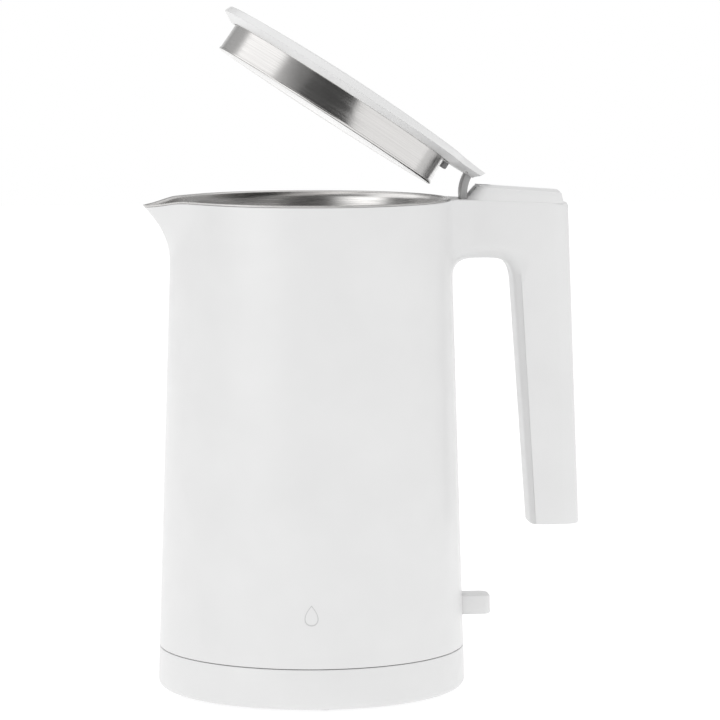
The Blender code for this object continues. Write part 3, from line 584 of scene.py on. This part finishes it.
def add_mark(ink):
    """A plain droplet outline printed on the front of the jug."""
    half_width, half_height = DROPLET_SIZE[0] / 2.0, DROPLET_SIZE[1] / 2.0
    turn_to_camera = math.atan2(-math.cos(CAMERA_SIDE), -math.sin(CAMERA_SIDE))
    steps = 48
    rings = []
    for share, lift in ((1.0, 0.0), (1.0, 0.07), (1.0 - DROPLET_LINE / half_width, 0.07),
                        (1.0 - DROPLET_LINE / half_width, 0.0)):
        ring = []
        for i in range(steps):
            turn = 2.0 * math.pi * i / steps
            across = share * half_width * math.sin(turn) * math.sin(turn / 2.0)
            z = DROPLET_Z + share * half_height * math.cos(turn)
            radius = cone_radius(z) + lift
            angle = turn_to_camera + across / radius
            ring.append((radius * math.cos(angle), radius * math.sin(angle), z))
        rings.append(ring)
    finish_piece(link_mesh("droplet_mark", loft(rings, closed=True)), ink, "kettle", "grey_plastic")


def round_ring(radius, z):
    """A plain circle with its points in the same directions as the body's outline."""
    flat = body_ring(100.0, cone_radius(100.0) - radius)
    return [(x, y, z) for x, y, _ in flat]


def add_pot(steel):
    """Drawn steel pot: dished floor, plain wall flaring to the spout, and a rolled lip."""
    floor = [(8.0, 0.9), (24.0, 0.75), (42.0, 0.4), (54.0, 0.1), (56.0, -0.25), (57.5, 0.0)]
    inside = [round_ring(radius, POT_FLOOR_Z + lift) for radius, lift in floor]
    corner = arc_points((POT_RADIUS - 6.0, POT_FLOOR_Z + 6.0), 6.0, -80.0, 0.0, 7)
    inside += [round_ring(radius, z) for radius, z in corner]
    wall = [(206.0, cone_radius(206.0) - POT_RADIUS), (212.0, 5.6), (218.0, 5.45), (224.0, 5.2)]
    wall += [(228.0, 4.95), (232.0, 4.6), (236.0, 4.2), (239.0, 3.85)]
    inside += [body_ring(z, inset) for z, inset in wall]
    flare = ((1.1, 3.5), (0.4, 2.9), (0.08, 2.3), (0.0, 1.7))
    inside += [body_ring(RIM_Z - drop, inset) for drop, inset in flare]
    roll = arc_points((0.2 + ROLL_RADIUS, RIM_Z - ROLL_RADIUS), ROLL_RADIUS, 90.0, 270.0, 7)
    lip = [body_ring(z, inset) for inset, z in roll]
    lip += [body_ring(SHELL_TOP_Z - 0.05, 1.5), body_ring(SHELL_TOP_Z - 0.9, 2.1)]
    outside = [body_ring(z, inset - POT_WALL) for z, inset in reversed(wall)]
    low_corner = arc_points((POT_RADIUS - 6.0, POT_FLOOR_Z + 6.0), 6.0 + POT_WALL, 0.0, -80.0, 7)
    outside += [round_ring(radius, z) for radius, z in low_corner]
    outside += [round_ring(radius, POT_FLOOR_Z + lift - POT_WALL) for radius, lift in reversed(floor)]
    pot = link_mesh("steel_pot", loft(inside + lip + outside))
    finish_piece(pot, steel, "kettle", "pot_steel", "inner_pot", sharp_degrees=60.0)


def lid_outline(inset, tail_x):
    """Plan of the lid: a disc with a flared tail that reaches back to the hinge cover."""
    radius = LID_RADIUS - inset
    half_width = HALF_WIDTH - 0.5 - inset
    fillet = 12.0 + inset
    centre = (math.sqrt((radius + fillet) ** 2 - (half_width + fillet) ** 2), half_width + fillet)
    flare = math.degrees(math.atan2(centre[1], centre[0]))
    half = [(tail_x, half_width * share) for share in (0.0, 0.5, 0.93)]
    half.append((max(tail_x - 0.9, centre[0] + 0.02), half_width))
    half += arc_points(centre, fillet, 270.0, 180.0 + flare, 10)
    half += arc_points((0.0, 0.0), radius, flare, 180.0, 72)[1:]
    mirror = [(x, -y) for x, y in reversed(half[1:-1])]
    return half + mirror


def lid_ring(inset, z):
    return [(x, y, z) for x, y in lid_outline(inset, on_line(LID_TAIL, z) - 0.2 * inset)]


def dome_ring(inset, drop, share=1.0):
    """The lid's outline drawn in by inset, then towards the crown, drop below the domed top."""
    points = []
    for x, y in lid_outline(inset, LID_TAIL[1][0] - inset):
        px, py = x * share, y * share
        height = LID_CROWN_Z - LID_DOME * (px * px + py * py) / LID_RADIUS ** 2 - drop
        points.append((px, py, height))
    return points


def add_lid(white, plate_white_painted_light, grey, steel, rubber):
    inner = [dome_ring(1.4, 1.7, share) for share in (0.15, 0.5, 0.8, 0.96)]
    nose = ((2.6, 0.3), (0.5, 0.1), (0.0, 0.0), (0.02, 0.3), (0.3, 0.95), (0.92, 2.4))
    edge = [lid_ring(inset, LID_NOSE_Z + lift) for inset, lift in nose]
    shoulder = ((1.15, 0.5), (1.35, 0.22), (1.7, 0.05), (2.4, 0.0))
    edge += [dome_ring(inset, drop) for inset, drop in shoulder]
    crown = [dome_ring(2.4, 0.0, share) for share in (0.97, 0.9, 0.78, 0.62, 0.45, 0.28, 0.12)]
    cover = link_mesh("lid_cover", loft(inner + edge + crown), LID_TURN)
    finish_piece(cover, white, "lid", "white_shell", "lid_top_cover")

    rows = [lid_ring(5.4, LID_UNDER_Z), lid_ring(5.0, LID_UNDER_Z + 0.1)]
    rows += [lid_ring(inset, LID_NOSE_Z + lift)
             for inset, lift in ((0.6, -0.28), (0.05, -0.02), (0.55, 0.1), (1.4, 0.2))]
    plate = link_mesh("lid_plate", loft(rows), LID_TURN)
    opening = turned([(SKIRT_RADIUS + 0.05, 240.0), (SKIRT_RADIUS + 0.05, 249.0)], 192, closed=False)
    add_to(opening, box(*NECK_SLOT))
    add_to(opening, uprights([(1.65, 240.0), (1.65, 245.6)], LID_SCREWS, 32))
    cut(plate, opening)
    # the plate gets the lighter white: painted light on its shaded underside
    finish_piece(plate, plate_white_painted_light, "lid", "white_shell", "lid_bottom_plate")
    add_screws("lid_screw", LID_SCREWS, (244.3, 247.3), (1.55, 0.9), steel, "lid", LID_TURN)
    add_cup(steel)
    add_neck(grey)
    knob = rounded([(61.6, 242.6), (64.3, 242.6), (64.3, 239.2), (61.6, 239.2)], (0.0, 0.0, 0.7, 0.3))
    bumper = link_mesh("lid_knob", prism(knob, -2.2, 2.2), LID_TURN)
    soften(bumper, 0.35)
    finish_piece(bumper, rubber, "lid", "rubber", "lid_bumper", sharp_degrees=40.0)


def add_cup(steel):
    """The lid's steel lining, with a fine bead round its bottom corner."""
    radius, low = SKIRT_RADIUS + 0.15, SKIRT_BOTTOM_Z
    rows = [(12.0, low + 0.55), (44.0, low + 0.5), (55.0, low + 0.35), (56.2, low + 0.05)]
    rows += arc_points((radius - 0.7, low + 0.7), 0.7, -90.0, 0.0, 6)
    rows += [(radius, low + 1.15), (radius - 0.28, low + 1.3), (radius - 0.3, low + 1.6)]
    rows += [(radius - 0.55, low + 9.0), (radius - 0.6, LID_NOSE_Z + 0.6)]
    rows += [(radius - 1.2, LID_NOSE_Z + 0.6), (radius - 1.2, low + 1.6), (radius - 3.0, low + 0.9)]
    rows += [(44.0, low + 0.95), (12.0, low + 0.95)]
    cup = link_mesh("lid_cup", turned(rows, 256, closed=False), LID_TURN)
    finish_piece(cup, steel, "lid", "plain_steel", "lid_liner", sharp_degrees=30.0)


def add_neck(grey):
    """The curved arm that carries the lid, with its hub round the hinge pin."""
    inner, outer = ARM_RADII
    top, tail = ARM_ANGLES
    outline = arc_points(HINGE, outer, top, tail, 40)
    outline += arc_points(HINGE, 2.1, tail + 25.0, tail + 335.0, 20)
    outline += arc_points(HINGE, inner, tail - 14.0, top, 36)
    neck = link_mesh("lid_neck", prism(outline, -ARM_HALF_WIDTH, ARM_HALF_WIDTH), LID_TURN)
    foot = [(73.2, 243.6), (76.0, 243.6), (75.6, 246.2), (66.6, 246.2), (66.6, 245.2), (73.2, 245.2)]
    cut(neck, prism(foot, -ARM_HALF_WIDTH, ARM_HALF_WIDTH), "UNION")
    soften(neck, 0.45)
    cut(neck, bore(HINGE, HINGE_PIN_HOLE, 8.0))
    finish_piece(neck, grey, "lid", "grey_plastic", "lid_hinge_arm", sharp_degrees=40.0)


def add_wedge(white):
    """The sloping cover on the handle that hides the hinge: crowned above, hollow below."""
    rings = []
    for rise, inset in ((0.0, 0.0), (0.5, 0.0), (0.95, 0.0), (0.975, 0.05), (0.99, 0.18), (1.0, 0.4)):
        (x0, z0), (x1, z1) = ([a + (b - a) * rise for a, b in zip(*line)]
                              for line in (WEDGE_FRONT, WEDGE_REAR))
        half = WEDGE_HALF_WIDTH - inset
        rings.append([(x0 + inset + (x1 - x0 - 2.0 * inset) * along, across * half,
                       z0 + (z1 - z0) * along) for along, across in wedge_plan()])
    (x0, z0), (x1, z1) = WEDGE_FRONT[1], WEDGE_REAR[1]
    edge, middle = rings[-1], (x0 + x1) / 2.0
    for share in (0.96, 0.88, 0.76, 0.6, 0.42, 0.24, 0.1):
        ring = []
        for x, y, _ in edge:
            x, y = middle + (x - middle) * (0.9 + 0.1 * share), y * share
            crown = WEDGE_CROWN * (1.0 - (y / WEDGE_HALF_WIDTH) ** 2)
            ring.append((x, y, z0 + (z1 - z0) * (x - x0) / (x1 - x0) + crown))
        rings.append(ring)
    wedge = link_mesh("hinge_wedge", loft(rings))
    low_x, end_x = WEDGE_FRONT[0][0], x1 - 8.0
    for half, start in WEDGE_HOLLOWS:
        hollow = [(low_x + start, 236.0), (x0 + start - 0.7, z0 - 0.9), (end_x, z1 - 0.5)]
        cut(wedge, prism(hollow + [(end_x, 236.0)], -half, half))
    cut(wedge, wedge_notch())
    finish_piece(wedge, white, "kettle", "white_shell", "handle_top_cover")


def wedge_plan():
    """Outline of the wedge seen from above: (share of its length, share of its half width)."""
    turns = np.linspace(0.0, math.pi / 2.0, 9)
    half = [(0.0, 0.0)] + [(0.14 - 0.14 * math.cos(t), 0.44 + 0.56 * math.sin(t)) for t in turns]
    half += [(0.3, 1.0), (0.6, 1.0)]
    half += [(0.95 + 0.05 * math.sin(t), 0.8 + 0.2 * math.cos(t)) for t in turns]
    half.append((1.0, 0.0))
    return half + [(a, -b) for a, b in reversed(half[1:-1])]


def wedge_notch():
    """The slot in the wedge's front that the lid's neck swings through, tapering to the rear."""
    x = WEDGE_FRONT[1][0]
    outline = [(x - 6.0, -5.5), (x + 1.0, -5.5), (x + 5.4, -4.3), (x + 7.4, -2.3)]
    return prism(outline + [(a, -b) for a, b in reversed(outline)], 236.0, 252.0, axis="Z")


# --- screws and small parts ---
def add_screws(name, places, heights, radii, steel, body, matrix=None):
    """Cross-head screws, heads down: the heights of their ends, the radii of head and shank."""
    (head_z, shank_top), (head, shank) = heights, radii
    profile = [(head - 0.9, head_z), (head - 0.3, head_z + 0.12), (head, head_z + 0.45)]
    profile += [(head, head_z + 1.2), (shank, head_z + 1.2), (shank, shank_top - 1.0)]
    profile.append((0.4 * shank, shank_top))
    long, short = 0.62 * head, 0.13 * head
    for number, (cx, cy) in enumerate(places, start=1):
        node = f"{name}_{number}"
        screw = link_mesh(f"{node}_fine", turned(profile, 40, (cx, cy), closed=False), matrix)
        cross = []
        for x, y in ((1, 0), (0, 1), (-1, 0), (0, -1)):
            for side in (-1, 1):
                cross.append((cx + long * x - side * short * y, cy + long * y + side * short * x))
            cross.append((cx + short * (x - y), cy + short * (x + y)))
        cut(screw, prism(cross, head_z - 1.0, head_z + 0.8, axis="Z"))
        finish_piece(screw, steel, body, "plain_steel", node, sharp_degrees=30.0)


def around(radius, *degrees):
    """Places on a circle."""
    turns = (math.radians(turn) for turn in degrees)
    return [(radius * math.cos(t), radius * math.sin(t)) for t in turns]


def stepped(wide, narrow, low, step, high):
    """Half section of a countersunk hole, open below."""
    return [(wide, low), (wide, step), (narrow, step), (narrow, high)]


def uprights(profile, places, count=40):
    """The same turned shape at several places, in one mesh."""
    bm = bmesh.new()
    for place in places:
        add_to(bm, turned(profile, count, place, closed=False))
    return bm


def add_lever(white):
    """The switch lever: a paddle with rounded outer corners, on an arm that rocks on its pin."""
    (x0, z0), (x1, z1) = LEVER_TAB
    rings = []
    for turn in range(-90, 91, 15):
        rise, away = math.sin(math.radians(turn)), 1.0 - math.cos(math.radians(turn))
        if turn < 0:
            inset, z = LEVER_LOW_EDGE[0] * away, z0 + LEVER_LOW_EDGE[1] * (1.0 + rise)
        else:
            inset, z = LEVER_HIGH_EDGE[0] * away, z1 - LEVER_HIGH_EDGE[1] * (1.0 - rise)
        half = LEVER_HALF_WIDTH - inset
        end = x1 - inset - LEVER_LEAN * (z - z0) / (z1 - z0)
        plan = [(x0, -half), (end, -half), (end, half), (x0, half)]
        rings.append([(x, y, z) for x, y in rounded(plan, (0.0, LEVER_CORNER, LEVER_CORNER, 0.0), 7)])
    lever = link_mesh("lever_paddle", loft(rings))
    z = LEVER_PIVOT[1]
    arm = arc_points(LEVER_PIVOT, 3.2, 90.0, 270.0, 16) + [(x0 + 2.0, z - 1.8), (x0 + 2.0, z + 3.6)]
    cut(lever, prism(arm, -4.0, 4.0), "UNION")
    cut(lever, bore(LEVER_PIVOT, LEVER_PIN_HOLE, 12.0))
    finish_piece(lever, white, "switch_lever", "white_shell", "switch_lever")


def add_jug_bottom(white, black, steel):
    places = around(JUG_SCREW_CIRCLE, 60.0, 180.0, 300.0)
    profile = [(26.0, 22.4), (26.5, 21.9), (34.0, 21.9), (34.5, 22.3), (35.5, 22.3), (36.0, 21.9)]
    profile += [(71.6, 21.9), (72.4, 22.3), (72.8, 23.2), (72.6, 30.0), (71.0, 26.5), (71.0, 24.9)]
    profile.append((26.0, 24.9))
    cover = link_mesh("jug_bottom", turned(profile, 192))
    cut(cover, uprights(stepped(3.4, 1.7, 21.0, 23.6, 26.0), places))
    finish_piece(cover, white, "kettle", "white_shell", "jug_bottom_cover")
    add_screws("bottom_screw", places, (22.1, 31.5), (3.0, 1.35), steel, "kettle")
    socket = [(18.2, 22.2), (18.6, 21.8), (25.1, 21.8), (25.5, 22.2), (25.5, 24.4), (20.6, 24.4)]
    socket += [(20.6, 38.0), (2.2, 38.0), (2.2, 35.0), (10.2, 35.0), (10.2, 27.6), (10.5, 27.3)]
    socket += [(11.5, 27.3), (11.8, 27.6), (11.8, 35.0), (18.2, 35.0)]
    connector = link_mesh("jug_socket", turned(socket, 96))
    finish_piece(connector, black, "kettle", "black_plastic", "kettle_connector")


# --- power base ---
def add_base(white, grey, black, nylon, rubber, steel):
    low_radius, top_radius = BASE_RADII
    top = ((26.2, 0.3), (26.5, 0.0), (33.0, 0.0), (33.4, 0.35), (34.2, 0.35), (34.6, 0.0), (68.0, 0.0))
    shell = [(radius, BASE_TOP_Z - depth) for radius, depth in top]
    shell += arc_points((top_radius - 0.5, SEAM_Z - SEAM_GAP - 0.5), 0.5, 90.0, 0.0, 5)
    shell += arc_points((low_radius - 3.2, 4.4), 3.2, 0.0, -90.0, 8)
    shell += [(low_radius - 3.5, 1.8), (low_radius - 2.9, 5.0), (top_radius - 2.0, BASE_TOP_Z - 2.0)]
    shell.append((26.2, BASE_TOP_Z - 2.0))
    upper = link_mesh("base_shell", turned(shell, 192))
    cut(upper, laid_along_y(turned([(4.3, 60.0), (4.3, 90.0)], 48, closed=False)))
    finish_piece(upper, white, "power_base", "white_shell", "base_upper_shell")

    under = [(19.2, 1.0), (19.7, 1.1), (20.0, 1.6), (30.0, 1.6), (30.4, 2.0), (31.6, 2.0), (32.0, 1.6)]
    under += [(54.0, 1.6), (54.4, 1.9), (55.0, 1.9), (55.4, 1.6), (low_radius - 3.3, 1.6)]
    under.append((low_radius - 3.3, 3.4))
    lower = link_mesh("base_bottom", turned(under, 192, closed=False))
    screw_places = around(BASE_SCREW_CIRCLE, 30.0, 150.0, 270.0)
    foot_places = around(FOOT_CIRCLE, 0.0, 90.0, 180.0, 270.0)
    holes = uprights(stepped(3.2, 1.6, 0.0, 2.5, 4.0), screw_places)
    foot_hole = [(FOOT_RADIUS + 0.3, 0.0), (FOOT_RADIUS + 0.3, 2.4)]
    cut(lower, add_to(holes, uprights(foot_hole, foot_places, 48)))
    finish_piece(lower, grey, "power_base", "grey_plastic", "base_lower_cover")
    add_screws("base_screw", screw_places, (1.1, 12.0), (2.8, 1.3), steel, "power_base")
    foot = [(1.8, 0.3), (2.1, 0.0), (3.3, 0.0), (3.6, 0.3), (4.1, 0.3), (4.4, 0.0), (5.6, 0.0)]
    foot += [(FOOT_RADIUS - 0.25, 0.2), (FOOT_RADIUS, 0.7), (FOOT_RADIUS, 2.1)]
    for number, place in enumerate(foot_places, start=1):
        piece = link_mesh(f"foot_{number}", turned(foot, 64, place, closed=False))
        finish_piece(piece, rubber, "power_base", "rubber", f"base_foot_{number}")
    add_tower(black, nylon)


def laid_along_y(bm):
    """Lay a shape that was turned about Z along Y, at the height of the cord's inlet."""
    for vertex in bm.verts:
        x, y, z = vertex.co
        vertex.co = (x, z, y + GLAND_Z)
    return bm


def add_tower(black, nylon):
    top, flange = TOWER_TOP_Z, BASE_TOP_Z - 2.3
    tower = [(29.0, flange - 2.6), (29.0, flange), (TOWER_RADIUS, flange), (TOWER_RADIUS, top - 1.0)]
    tower += arc_points((TOWER_RADIUS - 1.0, top - 1.0), 1.0, 10.0, 90.0, 4)
    tower += [(13.5, top), (13.2, top - 0.3), (13.2, 21.6), (8.8, 21.6), (8.8, top - 0.3), (8.5, top)]
    tower += [(3.8, top), (3.4, top - 0.4), (3.4, 18.6), (1.0, 18.6), (1.0, 14.0), (12.0, 14.0)]
    tower.append((12.0, flange - 2.6))
    finish_piece(link_mesh("tower", turned(tower, 96)), black, "power_base", "black_plastic",
                 "base_connector_tower")
    slip = [(18.4, flange + 0.3), (25.6, flange + 0.3), (25.6, 21.0), (25.1, 21.5), (22.6, 21.5)]
    slip += [(22.3, 21.2), (21.7, 21.2), (21.4, 21.5), (18.7, 21.5), (18.4, 21.2)]
    finish_piece(link_mesh("slip_ring", turned(slip, 96)), nylon, "swivel_ring", "nylon",
                 "base_swivel_ring")
    gland = [(2.4, 70.9), (2.7, 70.6), (5.3, 70.6), (5.6, 70.9), (5.6, 72.4), (4.0, 72.4)]
    gland += [(4.0, 77.4), (3.8, 78.0), (3.3, 78.4), (2.7, 78.4), (2.4, 78.1)]
    finish_piece(link_mesh("cord_inlet", laid_along_y(turned(gland, 48))), black, "power_base",
                 "black_plastic", "cord_gland")


# --- materials ---
def new_material(name, colour, roughness, metallic=0.0):
    material = bpy.data.materials.new(name)
    material.use_nodes = True
    shader = material.node_tree.nodes["Principled BSDF"]
    shader.inputs["Base Color"].default_value = (*colour, 1.0)
    shader.inputs["Roughness"].default_value = roughness
    shader.inputs["Metallic"].default_value = metallic
    return material, material.node_tree, shader


def noise(tree, coordinates, scale, detail=3.0):
    """Noise over the object's own coordinates, which are in metres."""
    node = tree.nodes.new("ShaderNodeTexNoise")
    node.inputs["Scale"].default_value = scale
    node.inputs["Detail"].default_value = detail
    tree.links.new(coordinates, node.inputs["Vector"])
    return node.outputs["Fac"]


def mapped(tree, value, source, target=(0.0, 1.0)):
    """Map the source range of a value onto the target range, and hold it there."""
    node = tree.nodes.new("ShaderNodeMapRange")
    names = ("From Min", "From Max", "To Min", "To Max")
    for name, number in zip(names, (*source, *target)):
        node.inputs[name].default_value = number
    tree.links.new(value, node.inputs["Value"])
    return node.outputs["Result"]


def spread(tree, value, low=0.0, high=1.0):
    """Map a noise value's useful middle onto low to high."""
    return mapped(tree, value, (0.3, 0.7), (low, high))


def computed(tree, operation, *values):
    """A Math node's result, from sockets or plain numbers."""
    node = tree.nodes.new("ShaderNodeMath")
    node.operation = operation
    for socket, value in zip(node.inputs, values):
        if isinstance(value, float):
            socket.default_value = value
        else:
            tree.links.new(value, socket)
    return node.outputs[0]


def split_up(tree, space):
    """The X, Y and Z sockets of a kind of texture coordinate."""
    node = tree.nodes.new("ShaderNodeSeparateXYZ")
    tree.links.new(tree.nodes.new("ShaderNodeTexCoord").outputs[space], node.inputs["Vector"])
    return node.outputs


def blended(tree, factor, first, second):
    """Mix two colours, each from a socket or an RGB triple."""
    mix = tree.nodes.new("ShaderNodeMix")
    mix.data_type = "RGBA"
    tree.links.new(factor, mix.inputs["Factor"])
    for name, colour in (("A", first), ("B", second)):
        if isinstance(colour, tuple):
            mix.inputs[name].default_value = (*colour, 1.0)
        else:
            tree.links.new(colour, mix.inputs[name])
    return mix.outputs["Result"]


def add_bump(tree, shader, height, strength, distance):
    node = tree.nodes.new("ShaderNodeBump")
    node.inputs["Strength"].default_value = strength
    node.inputs["Distance"].default_value = distance
    tree.links.new(height, node.inputs["Height"])
    tree.links.new(node.outputs["Normal"], shader.inputs["Normal"])


def moulded(name, colour, roughness, grain, variation=0.02):
    """Moulded plastic or rubber: a fine spark-eroded grain, faint flow marks and uneven gloss."""
    material, tree, shader = new_material(name, colour, roughness)
    place = tree.nodes.new("ShaderNodeTexCoord").outputs["Object"]
    other = tuple(max(0.0, channel - variation) for channel in colour)
    flow = spread(tree, noise(tree, place, 38.0, 2.0))
    tree.links.new(blended(tree, flow, colour, other), shader.inputs["Base Color"])
    gloss = spread(tree, noise(tree, place, 130.0, 2.0), roughness - 0.035, roughness + 0.035)
    tree.links.new(gloss, shader.inputs["Roughness"])
    add_bump(tree, shader, noise(tree, place, 2600.0, 2.0), grain, 0.00004)
    return material


def turned_steel(name, colour, roughness, line_strength):
    """Sheet steel polished on a lathe: fine lines that run round the vertical axis."""
    material, tree, shader = new_material(name, colour, roughness, 1.0)
    x, y, z = split_up(tree, "Object")
    squares = (computed(tree, "MULTIPLY", side, side) for side in (x, y))
    reach = computed(tree, "SQRT", computed(tree, "ADD", *squares))
    turn = computed(tree, "MULTIPLY", computed(tree, "ARCTAN2", y, x), 0.0006)
    ring = tree.nodes.new("ShaderNodeCombineXYZ")
    for socket, value in zip(ring.inputs, (reach, turn, z)):
        tree.links.new(value, socket)
    lines = noise(tree, ring.outputs["Vector"], 2400.0, 4.0)
    gloss = spread(tree, lines, roughness - 0.05, roughness + 0.07)
    tree.links.new(gloss, shader.inputs["Roughness"])
    darker = tuple(channel * 0.9 for channel in colour)
    tint = blended(tree, spread(tree, lines), colour, darker)
    tree.links.new(tint, shader.inputs["Base Color"])
    shader.inputs["Anisotropic"].default_value = 0.35
    add_bump(tree, shader, lines, line_strength, 0.00003)
    return material


def metal(name, colour, roughness, stain):
    """Stamped metal with a rolled grain and faint oxide."""
    material, tree, shader = new_material(name, colour, roughness, 1.0)
    place = tree.nodes.new("ShaderNodeTexCoord").outputs["Object"]
    clouds = spread(tree, noise(tree, place, 160.0))
    other = tuple(channel * (1.0 - stain) for channel in colour)
    tree.links.new(blended(tree, clouds, colour, other), shader.inputs["Base Color"])
    gloss = spread(tree, noise(tree, place, 700.0), roughness - 0.06, roughness + 0.08)
    tree.links.new(gloss, shader.inputs["Roughness"])
    add_bump(tree, shader, noise(tree, place, 1800.0), 0.15, 0.00003)
    return material


def dress_hidden_parts(materials):
    """Finishes for the CAD nodes that keep their own meshes."""
    finishes = {"silicone": ("rim_seal", "steam_duct"), "black_plastic": ("control_housing",),
                "aluminium": ("heat_spreader_plate",), "heater_sheath": ("heating_element",),
                "brass": ("bimetal_disc", "thermal_fuse", "kettle_contact_ring", "kettle_contact_pin",
                          "base_contact_ring", "base_contact_socket"),
                "grey_plastic": ("chassis_ring",), "insulation": ("lid_insulation",),
                "plain_steel": ("lever_pin", "hinge_pin", "hinge_bracket", "hinge_spring")}
    for name, nodes in finishes.items():
        for node in nodes:
            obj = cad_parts[node]
            obj.data.materials.clear()
            obj.data.materials.append(materials[name])


# --- camera and light ---
def add_camera():
    data = bpy.data.cameras.new("camera")
    data.lens = CAMERA_LENS
    data.clip_end = 20.0
    camera = bpy.data.objects.new("camera", data)
    bpy.context.scene.collection.objects.link(camera)
    away = CAMERA_DISTANCE
    camera.location = (-away * math.sin(CAMERA_SIDE), -away * math.cos(CAMERA_SIDE), CAMERA_HEIGHT)
    camera.rotation_euler = (math.pi / 2.0 - CAMERA_DROP, 0.0, -CAMERA_HEADING)
    bpy.context.scene.camera = camera


def add_world():
    """A white room: soft boxes at the left and right, and the dim end where the camera stands."""
    world = bpy.data.worlds.new("studio")
    world.use_nodes = True
    tree = world.node_tree
    x, y, z = split_up(tree, "Generated")
    share = mapped(tree, computed(tree, "ARCTAN2", y, x), (-math.pi, math.pi))
    low, high = (room_ramp(tree, share, stops, "LINEAR") for stops in (LOW_ROOM, HIGH_ROOM))
    soft = room_ramp(tree, share, LIGHTING_ROOM, "B_SPLINE")
    rising, above = (mapped(tree, z, limits) for limits in (LOW_TO_HIGH, CEILING_FROM))
    ceiling = (CEILING_LEVEL,) * 3
    reflected = blended(tree, above, blended(tree, rising, low, high), ceiling)
    path = tree.nodes.new("ShaderNodeLightPath").outputs
    lit = blended(tree, path["Is Glossy Ray"], blended(tree, above, soft, ceiling), reflected)
    seen = blended(tree, path["Is Camera Ray"], lit, (1.0, 1.0, 1.0))
    tree.links.new(seen, tree.nodes["Background"].inputs["Color"])
    tree.nodes["Background"].inputs["Strength"].default_value = 1.0
    bpy.context.scene.world = world
    bpy.context.scene.view_settings.view_transform = "Standard"


def room_ramp(tree, share, stops, interpolation):
    """Brightness round the horizon, given as (degrees from the camera's side, brightness)."""
    node = tree.nodes.new("ShaderNodeValToRGB")
    ramp = node.color_ramp
    ramp.interpolation = interpolation
    # the ramp starts and ends at -X, while the stops are counted from -Y towards +X
    placed = sorted((((degrees + 90.0) % 360.0) / 360.0, level) for degrees, level in stops)
    while len(ramp.elements) < len(placed):
        ramp.elements.new(0.5)
    for element, (position, level) in zip(ramp.elements, placed):
        element.position = position
        element.color = (level, level, level, 1.0)
    tree.links.new(share, node.inputs["Fac"])
    return node.outputs["Color"]


def add_floor():
    """A pale floor, just under the feet, that doesn't hide the object from a camera below it."""
    bm = bmesh.new()
    bmesh.ops.create_grid(bm, x_segments=1, y_segments=1, size=4000.0)
    floor = link_mesh("floor", bm)
    floor.location.z = -0.02 * MM
    material, tree, shader = new_material("pale_floor", (FLOOR_PALENESS,) * 3, 0.9)
    shader.inputs["Emission Color"].default_value = (1.0, 1.0, 1.0, 1.0)
    shader.inputs["Emission Strength"].default_value = FLOOR_GLOW
    see_through = tree.nodes.new("ShaderNodeBsdfTransparent")
    sides = tree.nodes.new("ShaderNodeMixShader")
    tree.links.new(tree.nodes.new("ShaderNodeNewGeometry").outputs["Backfacing"], sides.inputs[0])
    tree.links.new(shader.outputs["BSDF"], sides.inputs[1])
    tree.links.new(see_through.outputs["BSDF"], sides.inputs[2])
    tree.links.new(sides.outputs["Shader"], tree.nodes["Material Output"].inputs["Surface"])
    floor.data.materials.append(material)


def build():
    add_camera()
    add_world()
    add_floor()
    materials = {
        "white": moulded("satin_white", (0.738, 0.738, 0.738), 0.31, 0.05),
        # a lighter copy of the satin white for the lid's bottom plate: painted light that brightens
        # its shaded underside
        "plate_white_painted_light": moulded("plate_white_painted_light", (0.8, 0.8, 0.8), 0.36, 0.05),
        "pot_steel": turned_steel("pot_steel", (0.62, 0.61, 0.60), 0.26, 0.12),
        "lid_steel": turned_steel("lid_steel", (0.66, 0.65, 0.64), 0.16, 0.05),
        "plain_steel": metal("plain_steel", (0.62, 0.61, 0.60), 0.28, 0.12),
        "grey": moulded("neck_grey", (0.46, 0.46, 0.46), 0.4, 0.1),
        "grey_plastic": moulded("base_grey", (0.36, 0.36, 0.365), 0.5, 0.2),
        "ink": moulded("mark_ink", (0.56, 0.56, 0.56), 0.5, 0.05),
        "black_plastic": moulded("black_nylon", (0.028, 0.028, 0.03), 0.45, 0.25, 0.012),
        "nylon": moulded("slip_nylon", (0.72, 0.72, 0.70), 0.5, 0.15),
        "brass": metal("brass", (0.78, 0.60, 0.30), 0.3, 0.2),
        "silicone": moulded("silicone", (0.78, 0.78, 0.77), 0.6, 0.1),
        "rubber": moulded("rubber", (0.2, 0.2, 0.205), 0.75, 0.4),
        "aluminium": metal("aluminium", (0.75, 0.75, 0.76), 0.4, 0.1),
        "heater_sheath": metal("heater_sheath", (0.35, 0.34, 0.33), 0.45, 0.3),
        "insulation": moulded("insulation", (0.68, 0.67, 0.63), 0.9, 0.8, 0.08),
    }
    white = materials["white"]
    add_outer_shell(white)
    add_mark(materials["ink"])
    add_pot(materials["pot_steel"])
    add_lid(white, materials["plate_white_painted_light"], materials["grey"], materials["lid_steel"],
            materials["grey_plastic"])
    add_wedge(white)
    add_lever(white)
    add_jug_bottom(white, materials["black_plastic"], materials["plain_steel"])
    add_base(white, materials["grey_plastic"], materials["black_plastic"], materials["nylon"],
             materials["rubber"], materials["plain_steel"])
    dress_hidden_parts(materials)


build()
